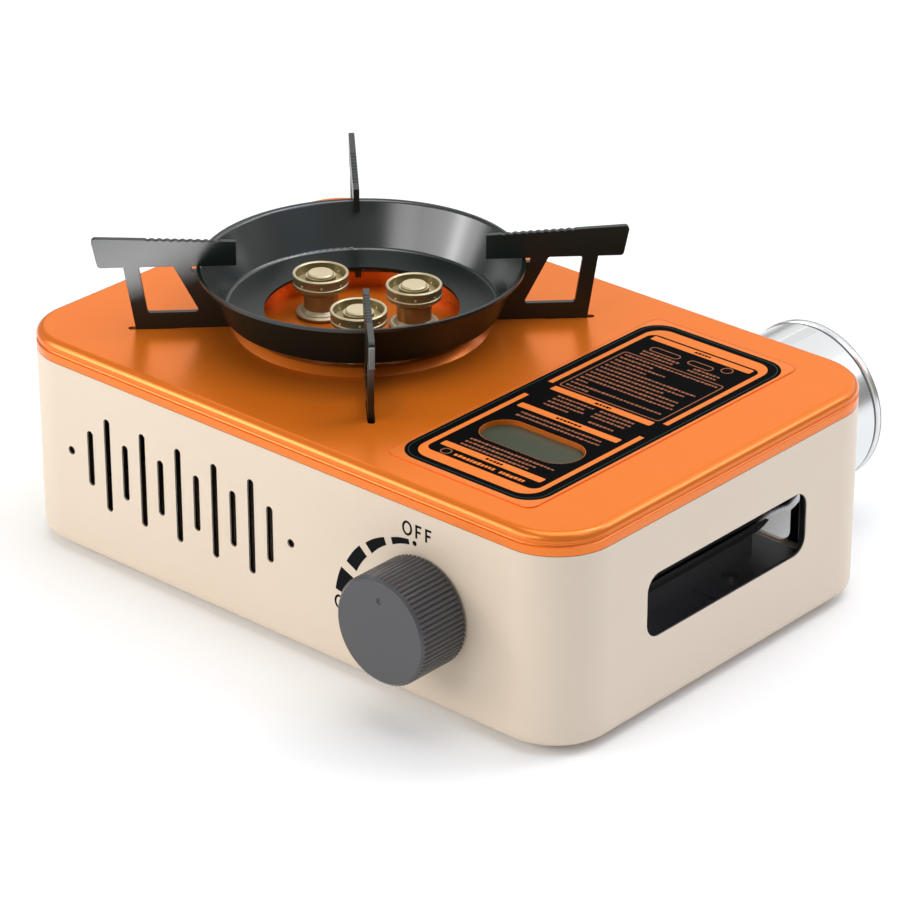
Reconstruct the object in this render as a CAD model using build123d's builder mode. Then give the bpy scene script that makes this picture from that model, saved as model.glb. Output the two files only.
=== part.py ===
from build123d import *
import os
from math import cos, radians, sin, sqrt

# A portable gas stove for a lying gas cartridge. A cream tub carries an orange cover; on the cover stand a black drip
# pan with four pot supports and, in a round well, three brass burners. The cartridge lies along the right side and
# stands out of the rear. The origin is on the ground, under the middle of the whole stove; the front faces -Y.

os.makedirs("parts", exist_ok=True)

# Driving dimensions, in millimetres

# Clearances that serve the whole stove
fit_gap = 0.3
running_gap = 0.05
cut_overrun = 1.0
quarter_turn = 90.0

# Tub
body_width = 285.3
body_depth = 189.8
corner_radius = 24.8
seam_height = 79.0
body_wall = 1.5
base_edge_radius = 4.6

# Feet, pillars and the screws that tie them together
foot_height = 3.0
foot_radius = 8.0
foot_edge_radius = 0.8
pillar_inset = 18.7
pillar_radius = 4.5
screw_radius = 1.5
screw_head_radius = 2.8
screw_head_height = 1.6
screw_length = 14.0
screw_slot_width = 0.7

# Front vents, a row of upright slots with a dot at each end
vent_from_left = 92.15
vent_height = 43.6
vent_pitch = 9.72
vent_count = 11
vent_width = 2.6
vent_short = 23.0
vent_tall = 39.3
vent_dot_radius = 1.4
vent_dot_gap = 10.9

# Air slots in the base, under the burners
base_vent_count = 5
base_vent_pitch = 12.0
base_vent_length = 50.0
base_vent_width = 4.0

# Window in the right wall
window_length = 94.4
window_height = 25.7
window_middle = 43.9
window_radius = 6.5
window_edge_radius = 0.9

# Cover
cover_height = 8.9
cover_sheet = 1.8
groove_height = 4.5
groove_radius = 1.0
groove_depth = 0.8
seam_bevel = 0.3
shoulder_radius = 3.6
lip_height = 4.0
lip_wall = 1.4

# Well and collar under the pan, a little in front of the burners
pan_margin_share = 0.4396
pan_forward = 1.4
well_radius = 44.0
well_depth = 3.9
well_sheet = 1.6
collar_height = 2.7
collar_wall = 3.8
collar_slope = 3.0
collar_edge_radius = 0.8

# Label film with its pill-shaped sight hole
label_margin_share = 0.327
label_forward = 1.3
label_width = 70.6
label_length = 158.8
label_radius = 4.6
label_film = 0.25
sight_length = 45.4
sight_width = 19.5
sight_forward = 38.4
sight_margin = 3.0
sight_pane = 1.5

# Burners
burner_lead = 23.4
burner_pair_right = 11.9
burner_pair_aside = 16.0
stem_radius = 6.9
stem_height = 9.9
stem_bore_radius = 3.2
stem_flange_radius = 10.1
stem_flange_height = 2.2
stem_flange_edge = 0.7
stem_foot = 1.3
shank_radius = 5.0
shank_length = 7.6
head_radius = 11.2
head_height = 8.3
head_taper = 2.8
head_rim = 1.3
head_cup_depth = 4.0
head_bore_radius = 4.5
head_groove = 0.35
head_groove_drop = 3.9
head_waist = 0.2
head_edge = 0.4
port_radius = 0.5
port_count = 8
port_rise = 1.2
core_radius = 5.25
core_step = 0.7
core_step_height = 2.8
core_edge = 0.5
core_drop = 0.1
core_shank_length = 2.4

# Manifold and mixing tube
manifold_height = 14.0
manifold_boss = 9.5
manifold_wall = 2.5
inlet_reach = 32.0
tube_radius = 5.5
tube_wall = 0.9
tube_bend = 16.0
tube_insert = 6.0

# Drip pan
pan_rim_radius = 64.3
pan_rim_height = 25.8
pan_floor_radius = 53.9
pan_floor_height = 7.4
pan_floor_fall = 1.3
pan_hole_radius = 38.5
pan_sheet = 1.2
pan_lip = 1.4
pan_bend = 2.4
pan_lip_bend = 0.9

# Pot supports, measured outwards from the pan's rim and upwards from the cover
support_sheet = 2.4
support_count = 4
support_first_angle = 45.0
bar_reach = 40.8
bar_inset = 15.6
bar_height = 38.8
bar_rise = 2.7
bar_drop = 12.5
bar_end_slant = 2.5
bar_end_radius = 1.6
leg_reach = 28.4
foot_reach = 24.4
outer_leg = 6.0
inner_leg = 8.8
foot_bar = 6.8
rim_notch = 1.8
foot_hook_length = 4.2
foot_hook_drop = 1.3
tab_depth = 4.4
tab_length = 16.0
slot_spare = 3.0
notch_count = 10
notch_pitch = 3.0
notch_radius = 1.4
notch_depth = 0.4
notch_start = 22.4
plate_corner_radius = 1.0

# Knob, its spindle and the regulator behind it
knob_radius = 21.6
knob_length = 22.6
knob_gap = 1.2
knob_rib_count = 68
knob_rib_size = 0.9
knob_bevel_length = 1.4
knob_bevel_depth = 1.3
knob_recess_radius = 13.0
knob_recess_depth = 6.0
knob_skin = 5.0
knob_dimple_radius = 1.3
knob_dimple_depth = 0.8
knob_dimple_offset = 12.5
spindle_radius = 4.0
spindle_depth = 20.0
regulator_neck_radius = 6.0
regulator_neck_length = 4.2
regulator_flange_radius = 19.0
regulator_flange = 3.0
regulator_radius = 17.0
regulator_length = 49.7
regulator_rib = 1.5
outlet_from_front = 28.9
outlet_radius = 7.5
outlet_reach = 24.0
nut_across_corners = 19.0
nut_height = 3.0

# Cartridge and what holds it
canister_from_right = 66.85
canister_axis_height = 40.0
canister_length = 175.0
canister_radius = 33.5
canister_sheet = 0.8
canister_rim = 0.4
canister_rim_height = 3.2
canister_rim_wall = 2.4
canister_rim_edge = 0.6
canister_rim_groove = 0.5
canister_rim_groove_width = 0.9
canister_dome = 5.0
canister_shoulder = 15.0
canister_neck_radius = 17.0
canister_neck = 2.0
valve_hole_radius = 12.0
valve_flange = 3.0
valve_plug = 4.0
valve_notch = 4.0
nozzle_radius = 2.15
nozzle_length = 9.0
socket_radius = 22.0
socket_length = 10.0
socket_bore_radius = 4.1
socket_edge = 1.0
seal_section_radius = 0.8
seal_depth = 2.5
mouth_gap = 1.4
mouth_foot_width = 51.8
mouth_foot_height = 24.0
mouth_foot_radius = 5.0
mouth_sill = 2.4
cradle_length = 98.0
cradle_setback = 20.5
cradle_gap = 0.7
cradle_sheet = 1.4
cradle_half_angle = 58.0
cradle_leg_aside = 22.0
cradle_tab_width = 13.0
cradle_tab_length = 34.0
cradle_tab_shares = (0.2312, 0.7883)

# Bay tray and heat shield
tray_sheet = 1.0
tray_upturn = 8.0
shield_clear = 8.0
shield_sheet = 1.0
shield_flange = 10.0
shield_hole_gap = 1.5

# Igniter
piezo_radius = 6.5
piezo_length = 30.0
piezo_setback = 6.0
piezo_neck_radius = 2.6
piezo_neck_length = 4.0
electrode_angle = -60.0
electrode_radius_out = 36.5
electrode_radius = 2.4
electrode_below = 16.0
electrode_above = 4.0
electrode_collar_radius = 4.0
electrode_collar = 1.5
electrode_tip_radius = 0.75
electrode_tip = 8.0
lead_radius = 1.25
lead_bend = 4.0
lead_drop = 8.0
lead_run = 11.0

# Places that follow from the sizes

canister_reach = body_wall + regulator_length + socket_length + fit_gap + canister_length
canister_overhang = canister_reach - body_depth
overall_depth = knob_length + knob_gap + body_depth + canister_overhang
front_y = knob_length + knob_gap - overall_depth / 2
rear_y = front_y + body_depth
mid_y = (front_y + rear_y) / 2
front_inner_y = front_y + body_wall
rear_inner_y = rear_y - body_wall

base_z = foot_height
floor_z = base_z + body_wall
seam_z = base_z + seam_height
top_z = seam_z + cover_height
cover_under_z = top_z - cover_sheet
well_floor_z = top_z - well_depth
well_under_z = well_floor_z - well_sheet

left_x = -body_width / 2
right_x = body_width / 2
cover_spare = body_width - pan_rim_radius * 2 - label_width
burner_x = left_x + cover_spare * pan_margin_share + pan_rim_radius
burner_y = mid_y
canister_x = right_x - canister_from_right
canister_z = base_z + canister_axis_height
label_x = right_x - cover_spare * label_margin_share - label_width / 2
label_y = mid_y - label_forward
sight_y = mid_y - sight_forward

pillar_x = right_x - pillar_inset
pillar_y = body_depth / 2 - pillar_inset
pillar_places = [(x, mid_y + y) for x in (-pillar_x, pillar_x) for y in (-pillar_y, pillar_y)]

burner_offsets = [(-burner_lead, 0), (burner_pair_right, -burner_pair_aside), (burner_pair_right, burner_pair_aside)]
burner_places = [(burner_x + x, burner_y + y) for x, y in burner_offsets]

# The cartridge, the knob and the regulator share one axis, which runs from front to rear
axis_plane = Plane(origin=(canister_x, 0, canister_z), x_dir=(1, 0, 0), z_dir=(0, 0, 1))
gas_axis = Axis((canister_x, 0, canister_z), (0, 1, 0))


def front_plane(y):
    """An upright plane at y, seen from the front: its own x is +X and its own y is +Z."""
    return Plane.XZ.offset(-y)


def upright_plane(place):
    """The upright plane through a place on the ground, for turned profiles of radius and height."""
    return Plane(origin=(place[0], place[1], 0), x_dir=(1, 0, 0), z_dir=(0, -1, 0))


def upright_axis(place):
    """The vertical axis through a place on the ground."""
    return Axis((place[0], place[1], 0), (0, 0, 1))


# Tub: a deep shell with round corners and a soft lower edge

vent_x = left_x + vent_from_left
vent_z = base_z + vent_height
vent_places = [(vent_x + (i - (vent_count - 1) / 2) * vent_pitch, vent_z) for i in range(vent_count)]
vent_dot_x = (vent_count - 1) / 2 * vent_pitch + vent_dot_gap
mouth_radius = canister_radius + mouth_gap
mouth_foot_z = base_z + mouth_sill + mouth_foot_height / 2
neck_hole_radius = regulator_neck_radius + running_gap
screw_hole_radius = screw_radius + fit_gap

cradle_rear_y = rear_inner_y - cradle_setback
cradle_front_y = cradle_rear_y - cradle_length
cradle_tab_x = cradle_leg_aside + cradle_tab_width / 2
cradle_tab_ys = [cradle_front_y + share * cradle_length for share in cradle_tab_shares]
cradle_tab_places = [(canister_x + side * cradle_tab_x, y) for side in (-1, 1) for y in cradle_tab_ys]

with BuildPart() as body_shell:
    with BuildSketch(Plane.XY.offset(base_z)):
        with Locations((0, mid_y)):
            RectangleRounded(body_width, body_depth, corner_radius)
    extrude(amount=seam_height)
    fillet(body_shell.edges().group_by(Axis.Z)[0], radius=base_edge_radius)
    offset(amount=-body_wall, openings=body_shell.faces().sort_by(Axis.Z)[-1])
    # Front: alternating short and tall slots, the end dots and the hole for the regulator's neck
    with BuildSketch(front_plane(front_y)):
        with Locations(*vent_places[0::2]):
            SlotOverall(vent_short, vent_width, rotation=quarter_turn)
        with Locations(*vent_places[1::2]):
            SlotOverall(vent_tall, vent_width, rotation=quarter_turn)
        with Locations((vent_x - vent_dot_x, vent_z), (vent_x + vent_dot_x, vent_z)):
            Circle(vent_dot_radius)
        with Locations((canister_x, canister_z)):
            Circle(neck_hole_radius)
    extrude(amount=body_wall + cut_overrun, both=True, mode=Mode.SUBTRACT)
    # Right: the long window
    with BuildSketch(Plane.YZ.offset(right_x)):
        with Locations((mid_y, base_z + window_middle)):
            RectangleRounded(window_length, window_height, window_radius)
    extrude(amount=body_wall + cut_overrun, both=True, mode=Mode.SUBTRACT)
    window_wire = body_shell.faces().sort_by(Axis.X)[-1].inner_wires()[0]
    fillet(window_wire.edges(), radius=window_edge_radius)
    # Rear: a round mouth for the cartridge, squared off below
    with BuildSketch(front_plane(rear_y)):
        with Locations((canister_x, canister_z)):
            Circle(mouth_radius)
        with Locations((canister_x, mouth_foot_z)):
            RectangleRounded(mouth_foot_width, mouth_foot_height, mouth_foot_radius)
    extrude(amount=body_wall + cut_overrun, both=True, mode=Mode.SUBTRACT)
    # Base: screw holes and air slots
    with BuildSketch(Plane.XY.offset(base_z)):
        with Locations(*pillar_places, *cradle_tab_places):
            Circle(screw_hole_radius)
        with Locations((burner_x, burner_y)):
            with GridLocations(base_vent_pitch, 0, base_vent_count, 1):
                SlotOverall(base_vent_length, base_vent_width, rotation=quarter_turn)
    extrude(amount=body_wall + cut_overrun, both=True, mode=Mode.SUBTRACT)
body_shell.part.label = "body_shell"
export_step(body_shell.part, "parts/body_shell.step")

# Feet: rubber discs, recessed for the heads of the screws that pass through them

foot_recess_radius = screw_head_radius + fit_gap
foot_web = foot_height / 2

with BuildPart() as rubber_feet:
    with BuildSketch(Plane.XY):
        with Locations(*pillar_places):
            Circle(foot_radius)
    extrude(amount=foot_height)
    fillet(rubber_feet.edges().group_by(Axis.Z)[0], radius=foot_edge_radius)
    with BuildSketch(Plane.XY):
        with Locations(*pillar_places):
            Circle(foot_recess_radius)
    extrude(amount=foot_height - foot_web, mode=Mode.SUBTRACT)
    with BuildSketch(Plane.XY):
        with Locations(*pillar_places):
            Circle(screw_hole_radius)
    extrude(amount=foot_height + cut_overrun, mode=Mode.SUBTRACT)
rubber_feet.part.label = "rubber_feet"
export_step(rubber_feet.part, "parts/rubber_feet.step")

# Pillars: they stand on the base and carry the cover

pillar_bore_radius = screw_radius + running_gap

with BuildPart() as tie_pillars:
    with BuildSketch(Plane.XY.offset(floor_z)):
        with Locations(*pillar_places):
            Circle(pillar_radius)
            Circle(pillar_bore_radius, mode=Mode.SUBTRACT)
    extrude(amount=cover_under_z - floor_z)
tie_pillars.part.label = "tie_pillars"
export_step(tie_pillars.part, "parts/tie_pillars.step")

# Screws from below, one through each foot into its pillar

screw_seat_z = foot_height - foot_web

with BuildPart() as base_screws:
    with BuildSketch(Plane.XY.offset(screw_seat_z - screw_head_height + foot_edge_radius)):
        with Locations(*pillar_places):
            Circle(screw_head_radius)
    extrude(amount=screw_head_height - foot_edge_radius)
    with BuildSketch(Plane.XY.offset(screw_seat_z)):
        with Locations(*pillar_places):
            Circle(screw_radius)
    extrude(amount=screw_length)
base_screws.part.label = "base_screws"
export_step(base_screws.part, "parts/base_screws.step")

# Cover: its side is flush with the tub, with a round groove, a rounded shoulder and a lip that drops inside the tub

groove_z = seam_z + groove_height
groove_stand = groove_radius - groove_depth
lip_inset = body_wall + fit_gap
cover_wall = lip_inset + lip_wall
collar_radius = well_radius + collar_wall
collar_base_radius = collar_radius + collar_slope
pan_middle = (burner_x, burner_y - pan_forward)

foot_end_radius = pan_rim_radius + foot_reach
tab_outer_radius = foot_end_radius - fit_gap
tab_inner_radius = tab_outer_radius - tab_length
slot_width = support_sheet + fit_gap * 2
slot_outer_radius = foot_end_radius + slot_spare
slot_inner_radius = tab_inner_radius - slot_width / 2
slot_middle_radius = (slot_outer_radius + slot_inner_radius) / 2
slot_length = slot_outer_radius - slot_inner_radius

electrode_x = burner_x + electrode_radius_out * cos(radians(electrode_angle))
electrode_y = burner_y + electrode_radius_out * sin(radians(electrode_angle))
electrode_place = (electrode_x, electrode_y)

with BuildSketch(Plane.XY.offset(groove_z)) as groove_outline:
    with Locations((0, mid_y)):
        RectangleRounded(body_width + groove_stand * 2, body_depth + groove_stand * 2, corner_radius + groove_stand)

with BuildPart() as top_cover:
    with BuildSketch(Plane.XY.offset(seam_z)):
        with Locations((0, mid_y)):
            RectangleRounded(body_width, body_depth, corner_radius)
    extrude(amount=cover_height)
    chamfer(top_cover.edges().group_by(Axis.Z)[0], length=seam_bevel)
    fillet(top_cover.edges().group_by(Axis.Z)[-1], radius=shoulder_radius)
    # The groove's round section follows the side all the way round
    with BuildSketch(Plane(origin=(0, front_y - groove_stand, groove_z), z_dir=(1, 0, 0))):
        Circle(groove_radius)
    sweep(path=groove_outline.sketch.wire(), mode=Mode.SUBTRACT)
    with BuildSketch(Plane.XY.offset(seam_z)):
        with Locations((0, mid_y)):
            RectangleRounded(body_width - cover_wall * 2, body_depth - cover_wall * 2, corner_radius - cover_wall)
    extrude(amount=cover_under_z - seam_z, mode=Mode.SUBTRACT)
    with BuildSketch(Plane.XY.offset(seam_z - lip_height)):
        with Locations((0, mid_y)):
            RectangleRounded(body_width - lip_inset * 2, body_depth - lip_inset * 2, corner_radius - lip_inset)
            RectangleRounded(
                body_width - cover_wall * 2,
                body_depth - cover_wall * 2,
                corner_radius - cover_wall,
                mode=Mode.SUBTRACT,
            )
    extrude(amount=lip_height)
    # The collar and the floor of the well are one turned profile
    with BuildSketch(upright_plane(pan_middle)):
        with BuildLine():
            Polyline(
                (0, well_under_z),
                (collar_radius, well_under_z),
                (collar_radius, cover_under_z),
                (collar_base_radius, cover_under_z),
                (collar_base_radius, top_z),
                (collar_radius, top_z + collar_height),
                (0, top_z + collar_height),
                close=True,
            )
        make_face()
    revolve(axis=upright_axis(pan_middle))
    with BuildSketch(Plane.XY.offset(well_floor_z)):
        with Locations(pan_middle):
            Circle(well_radius)
    extrude(amount=well_depth + collar_height + cut_overrun, mode=Mode.SUBTRACT)
    fillet(top_cover.edges().group_by(Axis.Z)[-1], radius=collar_edge_radius)
    # Holes in the floor of the well for the burners' shanks and the electrode
    with BuildSketch(Plane.XY.offset(well_floor_z)):
        with Locations(*burner_places):
            Circle(shank_radius + running_gap)
        with Locations(electrode_place):
            Circle(electrode_radius + running_gap)
    extrude(amount=well_sheet + cut_overrun, both=True, mode=Mode.SUBTRACT)
    # Slots for the supports' tabs, and the sight hole
    with BuildSketch(Plane.XY.offset(top_z)):
        with Locations(pan_middle):
            with PolarLocations(slot_middle_radius, support_count, start_angle=support_first_angle):
                SlotOverall(slot_length, slot_width)
        with Locations((label_x, sight_y)):
            SlotOverall(sight_length, sight_width)
    extrude(amount=cover_sheet + cut_overrun, both=True, mode=Mode.SUBTRACT)
top_cover.part.label = "top_cover"
export_step(top_cover.part, "parts/top_cover.step")

# Label film on the cover, and the pane glued under the sight hole

with BuildPart() as label_panel:
    with BuildSketch(Plane.XY.offset(top_z)):
        with Locations((label_x, label_y)):
            RectangleRounded(label_width, label_length, label_radius)
        with Locations((label_x, sight_y)):
            SlotOverall(sight_length, sight_width, mode=Mode.SUBTRACT)
    extrude(amount=label_film)
label_panel.part.label = "label_panel"
export_step(label_panel.part, "parts/label_panel.step")

with BuildPart() as sight_window:
    with BuildSketch(Plane.XY.offset(cover_under_z - sight_pane)):
        with Locations((label_x, sight_y)):
            SlotOverall(sight_length + sight_margin * 2, sight_width + sight_margin * 2)
    extrude(amount=sight_pane)
sight_window.part.label = "sight_window"
export_step(sight_window.part, "parts/sight_window.step")

# Burners: each is a flanged stem, a cup on the stem and a button in the cup

stem_top_z = well_floor_z + stem_height
head_top_z = stem_top_z + head_height
cup_floor_z = head_top_z - head_cup_depth
cup_radius = head_radius - head_rim
flange_top_z = well_floor_z + stem_flange_height
head_groove_z = head_top_z - head_groove_drop
head_side_radius = head_radius - head_waist
core_base_radius = core_radius + core_step
core_top_z = head_top_z - core_drop
port_z = cup_floor_z + port_rise
port_angles = [360 / port_count * i for i in range(port_count)]

for number, place in enumerate(burner_places, start=1):
    with BuildPart() as burner_stem:
        with BuildSketch(upright_plane(place)):
            with BuildLine():
                Polyline(
                    (stem_bore_radius, well_floor_z - shank_length),
                    (shank_radius, well_floor_z - shank_length),
                    (shank_radius, well_floor_z),
                    (stem_flange_radius - stem_flange_edge, well_floor_z),
                    (stem_flange_radius, well_floor_z + stem_flange_edge),
                    (stem_flange_radius, flange_top_z - stem_flange_edge),
                    (stem_flange_radius - stem_flange_edge, flange_top_z),
                    (stem_radius + stem_foot, flange_top_z),
                    (stem_radius, flange_top_z + stem_foot),
                    (stem_radius, stem_top_z),
                    (stem_bore_radius, stem_top_z),
                    close=True,
                )
            make_face()
        revolve(axis=upright_axis(place))
    burner_stem.part.label = f"burner_stem_{number}"
    export_step(burner_stem.part, f"parts/burner_stem_{number}.step")

    with BuildPart() as burner_head:
        with BuildSketch(upright_plane(place)):
            with BuildLine():
                Polyline(
                    (head_bore_radius, stem_top_z),
                    (stem_radius + head_edge, stem_top_z),
                    (head_side_radius, stem_top_z + head_taper),
                    (head_side_radius, head_groove_z - head_groove),
                    (head_side_radius - head_groove, head_groove_z),
                    (head_side_radius, head_groove_z + head_groove),
                    (head_side_radius, head_top_z - head_rim - head_waist),
                    (head_radius, head_top_z - head_rim),
                    (head_radius, head_top_z - head_edge),
                    (head_radius - head_edge, head_top_z),
                    (cup_radius + head_edge, head_top_z),
                    (cup_radius, head_top_z - head_edge),
                    (cup_radius, cup_floor_z),
                    (head_bore_radius, cup_floor_z),
                    close=True,
                )
            make_face()
        revolve(axis=upright_axis(place))
        # Small gas ports through the cup's wall
        for angle in port_angles:
            port_axis = (cos(radians(angle)), sin(radians(angle)), 0)
            with BuildSketch(Plane(origin=(*place, port_z), z_dir=port_axis)):
                Circle(port_radius)
            extrude(amount=head_radius + cut_overrun, mode=Mode.SUBTRACT)
    burner_head.part.label = f"burner_head_{number}"
    export_step(burner_head.part, f"parts/burner_head_{number}.step")

    with BuildPart() as burner_core:
        with BuildSketch(upright_plane(place)):
            with BuildLine():
                Polyline(
                    (0, cup_floor_z - core_shank_length),
                    (head_bore_radius - running_gap, cup_floor_z - core_shank_length),
                    (head_bore_radius - running_gap, cup_floor_z),
                    (core_base_radius, cup_floor_z),
                    (core_base_radius, cup_floor_z + core_step_height),
                    (core_radius, cup_floor_z + core_step_height),
                    (core_radius, core_top_z - core_edge),
                    (core_radius - core_edge, core_top_z),
                    (0, core_top_z),
                    close=True,
                )
            make_face()
        revolve(axis=upright_axis(place))
    burner_core.part.label = f"burner_core_{number}"
    export_step(burner_core.part, f"parts/burner_core_{number}.step")

# Manifold: one casting under the well that feeds the three shanks

manifold_z = well_under_z - manifold_height
manifold_axis_z = well_under_z - manifold_height / 2
inlet_y = burner_y - inlet_reach
inlet_radius = manifold_height / 2 - fit_gap
tube_bore_radius = tube_radius + running_gap

with BuildPart() as burner_manifold:
    with BuildSketch(Plane.XY.offset(manifold_z)):
        with Locations(*burner_places):
            Circle(manifold_boss)
        make_hull()
    extrude(amount=manifold_height)
    with BuildSketch(front_plane(burner_y)):
        with Locations((burner_x, manifold_axis_z)):
            Circle(inlet_radius)
    extrude(amount=inlet_reach)
    # The gas space, the bores for the shanks and the bore for the tube
    with BuildSketch(Plane.XY.offset(manifold_z + manifold_wall)):
        with Locations(*burner_places):
            Circle(manifold_boss - manifold_wall)
        make_hull()
    extrude(amount=manifold_height - manifold_wall * 2, mode=Mode.SUBTRACT)
    with BuildSketch(Plane.XY.offset(well_under_z)):
        with Locations(*burner_places):
            Circle(shank_radius + running_gap)
    extrude(amount=-manifold_height / 2, mode=Mode.SUBTRACT)
    with BuildSketch(front_plane(burner_y)):
        with Locations((burner_x, manifold_axis_z)):
            Circle(tube_bore_radius)
    extrude(amount=inlet_reach + cut_overrun, mode=Mode.SUBTRACT)
burner_manifold.part.label = "burner_manifold"
export_step(burner_manifold.part, "parts/burner_manifold.step")

# Regulator: a turned body clamped to the front wall by its neck, with an outlet on its left

socket_front_y = front_inner_y + regulator_length
socket_rear_y = socket_front_y + socket_length
collar_y = socket_rear_y + fit_gap
outlet_y = front_y + outlet_from_front
outlet_x = canister_x - outlet_reach
spindle_rear_y = front_inner_y + spindle_depth
spindle_bore_radius = spindle_radius + running_gap

with BuildPart() as regulator_body:
    with BuildSketch(axis_plane):
        with BuildLine():
            Polyline(
                (0, front_y - regulator_neck_length),
                (regulator_neck_radius, front_y - regulator_neck_length),
                (regulator_neck_radius, front_inner_y),
                (regulator_flange_radius, front_inner_y),
                (regulator_flange_radius, front_inner_y + regulator_flange),
                (regulator_radius, front_inner_y + regulator_flange + regulator_rib),
                (regulator_radius, socket_front_y - regulator_rib),
                (regulator_radius - regulator_rib, socket_front_y),
                (0, socket_front_y),
                close=True,
            )
        make_face()
    revolve(axis=gas_axis)
    with BuildSketch(Plane.YZ.offset(outlet_x)):
        with Locations((outlet_y, canister_z)):
            Circle(outlet_radius)
    extrude(amount=outlet_reach)
    with BuildSketch(Plane.YZ.offset(outlet_x)):
        with Locations((outlet_y, canister_z)):
            Circle(tube_bore_radius)
    extrude(amount=tube_insert, mode=Mode.SUBTRACT)
    with BuildSketch(front_plane(front_y - regulator_neck_length)):
        with Locations((canister_x, canister_z)):
            Circle(spindle_bore_radius)
    extrude(amount=-(regulator_neck_length + body_wall + spindle_depth), mode=Mode.SUBTRACT)
regulator_body.part.label = "regulator_body"
export_step(regulator_body.part, "parts/regulator_body.step")

with BuildPart() as panel_nut:
    with BuildSketch(front_plane(front_y)):
        with Locations((canister_x, canister_z)):
            RegularPolygon(nut_across_corners / 2, 6)
            Circle(neck_hole_radius, mode=Mode.SUBTRACT)
    extrude(amount=nut_height)
panel_nut.part.label = "panel_nut"
export_step(panel_nut.part, "parts/panel_nut.step")

# Mixing tube: from the regulator's outlet, up and to the left, then back into the manifold

tube_rise = manifold_axis_z - canister_z
tube_start = (outlet_x + tube_insert, outlet_y, canister_z)
tube_points = [
    tube_start,
    (burner_x + tube_rise, outlet_y, canister_z),
    (burner_x, outlet_y, manifold_axis_z),
    (burner_x, inlet_y + tube_insert, manifold_axis_z),
]

with BuildPart() as mixing_tube:
    with BuildLine() as tube_path:
        FilletPolyline(*tube_points, radius=tube_bend)
    with BuildSketch(Plane(origin=tube_start, z_dir=(-1, 0, 0))):
        Circle(tube_radius)
        Circle(tube_radius - tube_wall, mode=Mode.SUBTRACT)
    sweep(path=tube_path.line)
mixing_tube.part.label = "mixing_tube"
export_step(mixing_tube.part, "parts/mixing_tube.step")

# Socket that the cartridge's collar meets, and the ring that seals round its nozzle

with BuildPart() as regulator_socket:
    with BuildSketch(axis_plane):
        with BuildLine():
            Polyline(
                (socket_bore_radius, socket_front_y),
                (socket_radius, socket_front_y),
                (socket_radius, socket_rear_y - socket_edge),
                (socket_radius - socket_edge, socket_rear_y),
                (socket_bore_radius, socket_rear_y),
                close=True,
            )
        make_face()
    revolve(axis=gas_axis)
regulator_socket.part.label = "regulator_socket"
export_step(regulator_socket.part, "parts/regulator_socket.step")

seal_radius = socket_bore_radius - seal_section_radius - running_gap

with BuildPart() as socket_seal:
    with BuildSketch(axis_plane):
        with Locations((seal_radius, socket_rear_y - seal_depth)):
            Circle(seal_section_radius)
    revolve(axis=gas_axis)
socket_seal.part.label = "socket_seal"
export_step(socket_seal.part, "parts/socket_seal.step")

# Knob: ribbed round its side, bevelled in front, hollow behind for the nut, and the spindle that it turns

knob_rear_y = front_y - knob_gap
knob_front_y = knob_rear_y - knob_length
spindle_front_y = knob_front_y + knob_skin
dimple_ball_radius = (knob_dimple_radius**2 + knob_dimple_depth**2) / (2 * knob_dimple_depth)

with BuildPart() as control_knob:
    with BuildSketch(front_plane(knob_rear_y)):
        with Locations((canister_x, canister_z)):
            Circle(knob_radius)
            with PolarLocations(knob_radius, knob_rib_count):
                Rectangle(knob_rib_size, knob_rib_size, rotation=45, mode=Mode.SUBTRACT)
    extrude(amount=knob_length)
    # The bevel runs right round the front edge, so the ribs fade into it
    with BuildSketch(axis_plane):
        with BuildLine():
            Polyline(
                (0, knob_front_y),
                (knob_radius - knob_bevel_depth, knob_front_y),
                (knob_radius, knob_front_y + knob_bevel_length),
                (knob_radius, knob_rear_y),
                (0, knob_rear_y),
                close=True,
            )
        make_face()
    revolve(axis=gas_axis, mode=Mode.INTERSECT)
    with BuildSketch(front_plane(knob_rear_y)):
        with Locations((canister_x, canister_z)):
            Circle(knob_recess_radius)
    extrude(amount=knob_recess_depth, mode=Mode.SUBTRACT)
    with BuildSketch(front_plane(knob_rear_y)):
        with Locations((canister_x, canister_z)):
            Circle(spindle_bore_radius)
    extrude(amount=knob_length - knob_skin + running_gap, mode=Mode.SUBTRACT)
    with Locations((canister_x, knob_front_y + knob_dimple_depth - dimple_ball_radius, canister_z + knob_dimple_offset)):
        Sphere(dimple_ball_radius, mode=Mode.SUBTRACT)
control_knob.part.label = "control_knob"
export_step(control_knob.part, "parts/control_knob.step")

with BuildPart() as valve_spindle:
    with BuildSketch(front_plane(spindle_rear_y - running_gap)):
        with Locations((canister_x, canister_z)):
            Circle(spindle_radius)
    extrude(amount=spindle_rear_y - running_gap - spindle_front_y)
valve_spindle.part.label = "valve_spindle"
export_step(valve_spindle.part, "parts/valve_spindle.step")

# Cartridge: a thin can with a rolled rim and a domed bottom behind, and a round shoulder in front

rim_y = collar_y + canister_length
rim_radius = canister_radius + canister_rim
rim_inner_radius = rim_radius - canister_rim_wall
rim_front_y = rim_y - canister_rim_height
rim_groove_radius = canister_radius - canister_rim_groove
rim_groove_y = rim_front_y - canister_rim_groove_width
bottom_y = rim_front_y - canister_dome
bottom_inner_y = bottom_y - canister_sheet
neck_front_y = collar_y + valve_flange
neck_rear_y = neck_front_y + canister_neck
shoulder_y = neck_rear_y + canister_shoulder
neck_inner_radius = canister_neck_radius - canister_sheet
can_inner_radius = canister_radius - canister_sheet

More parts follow.
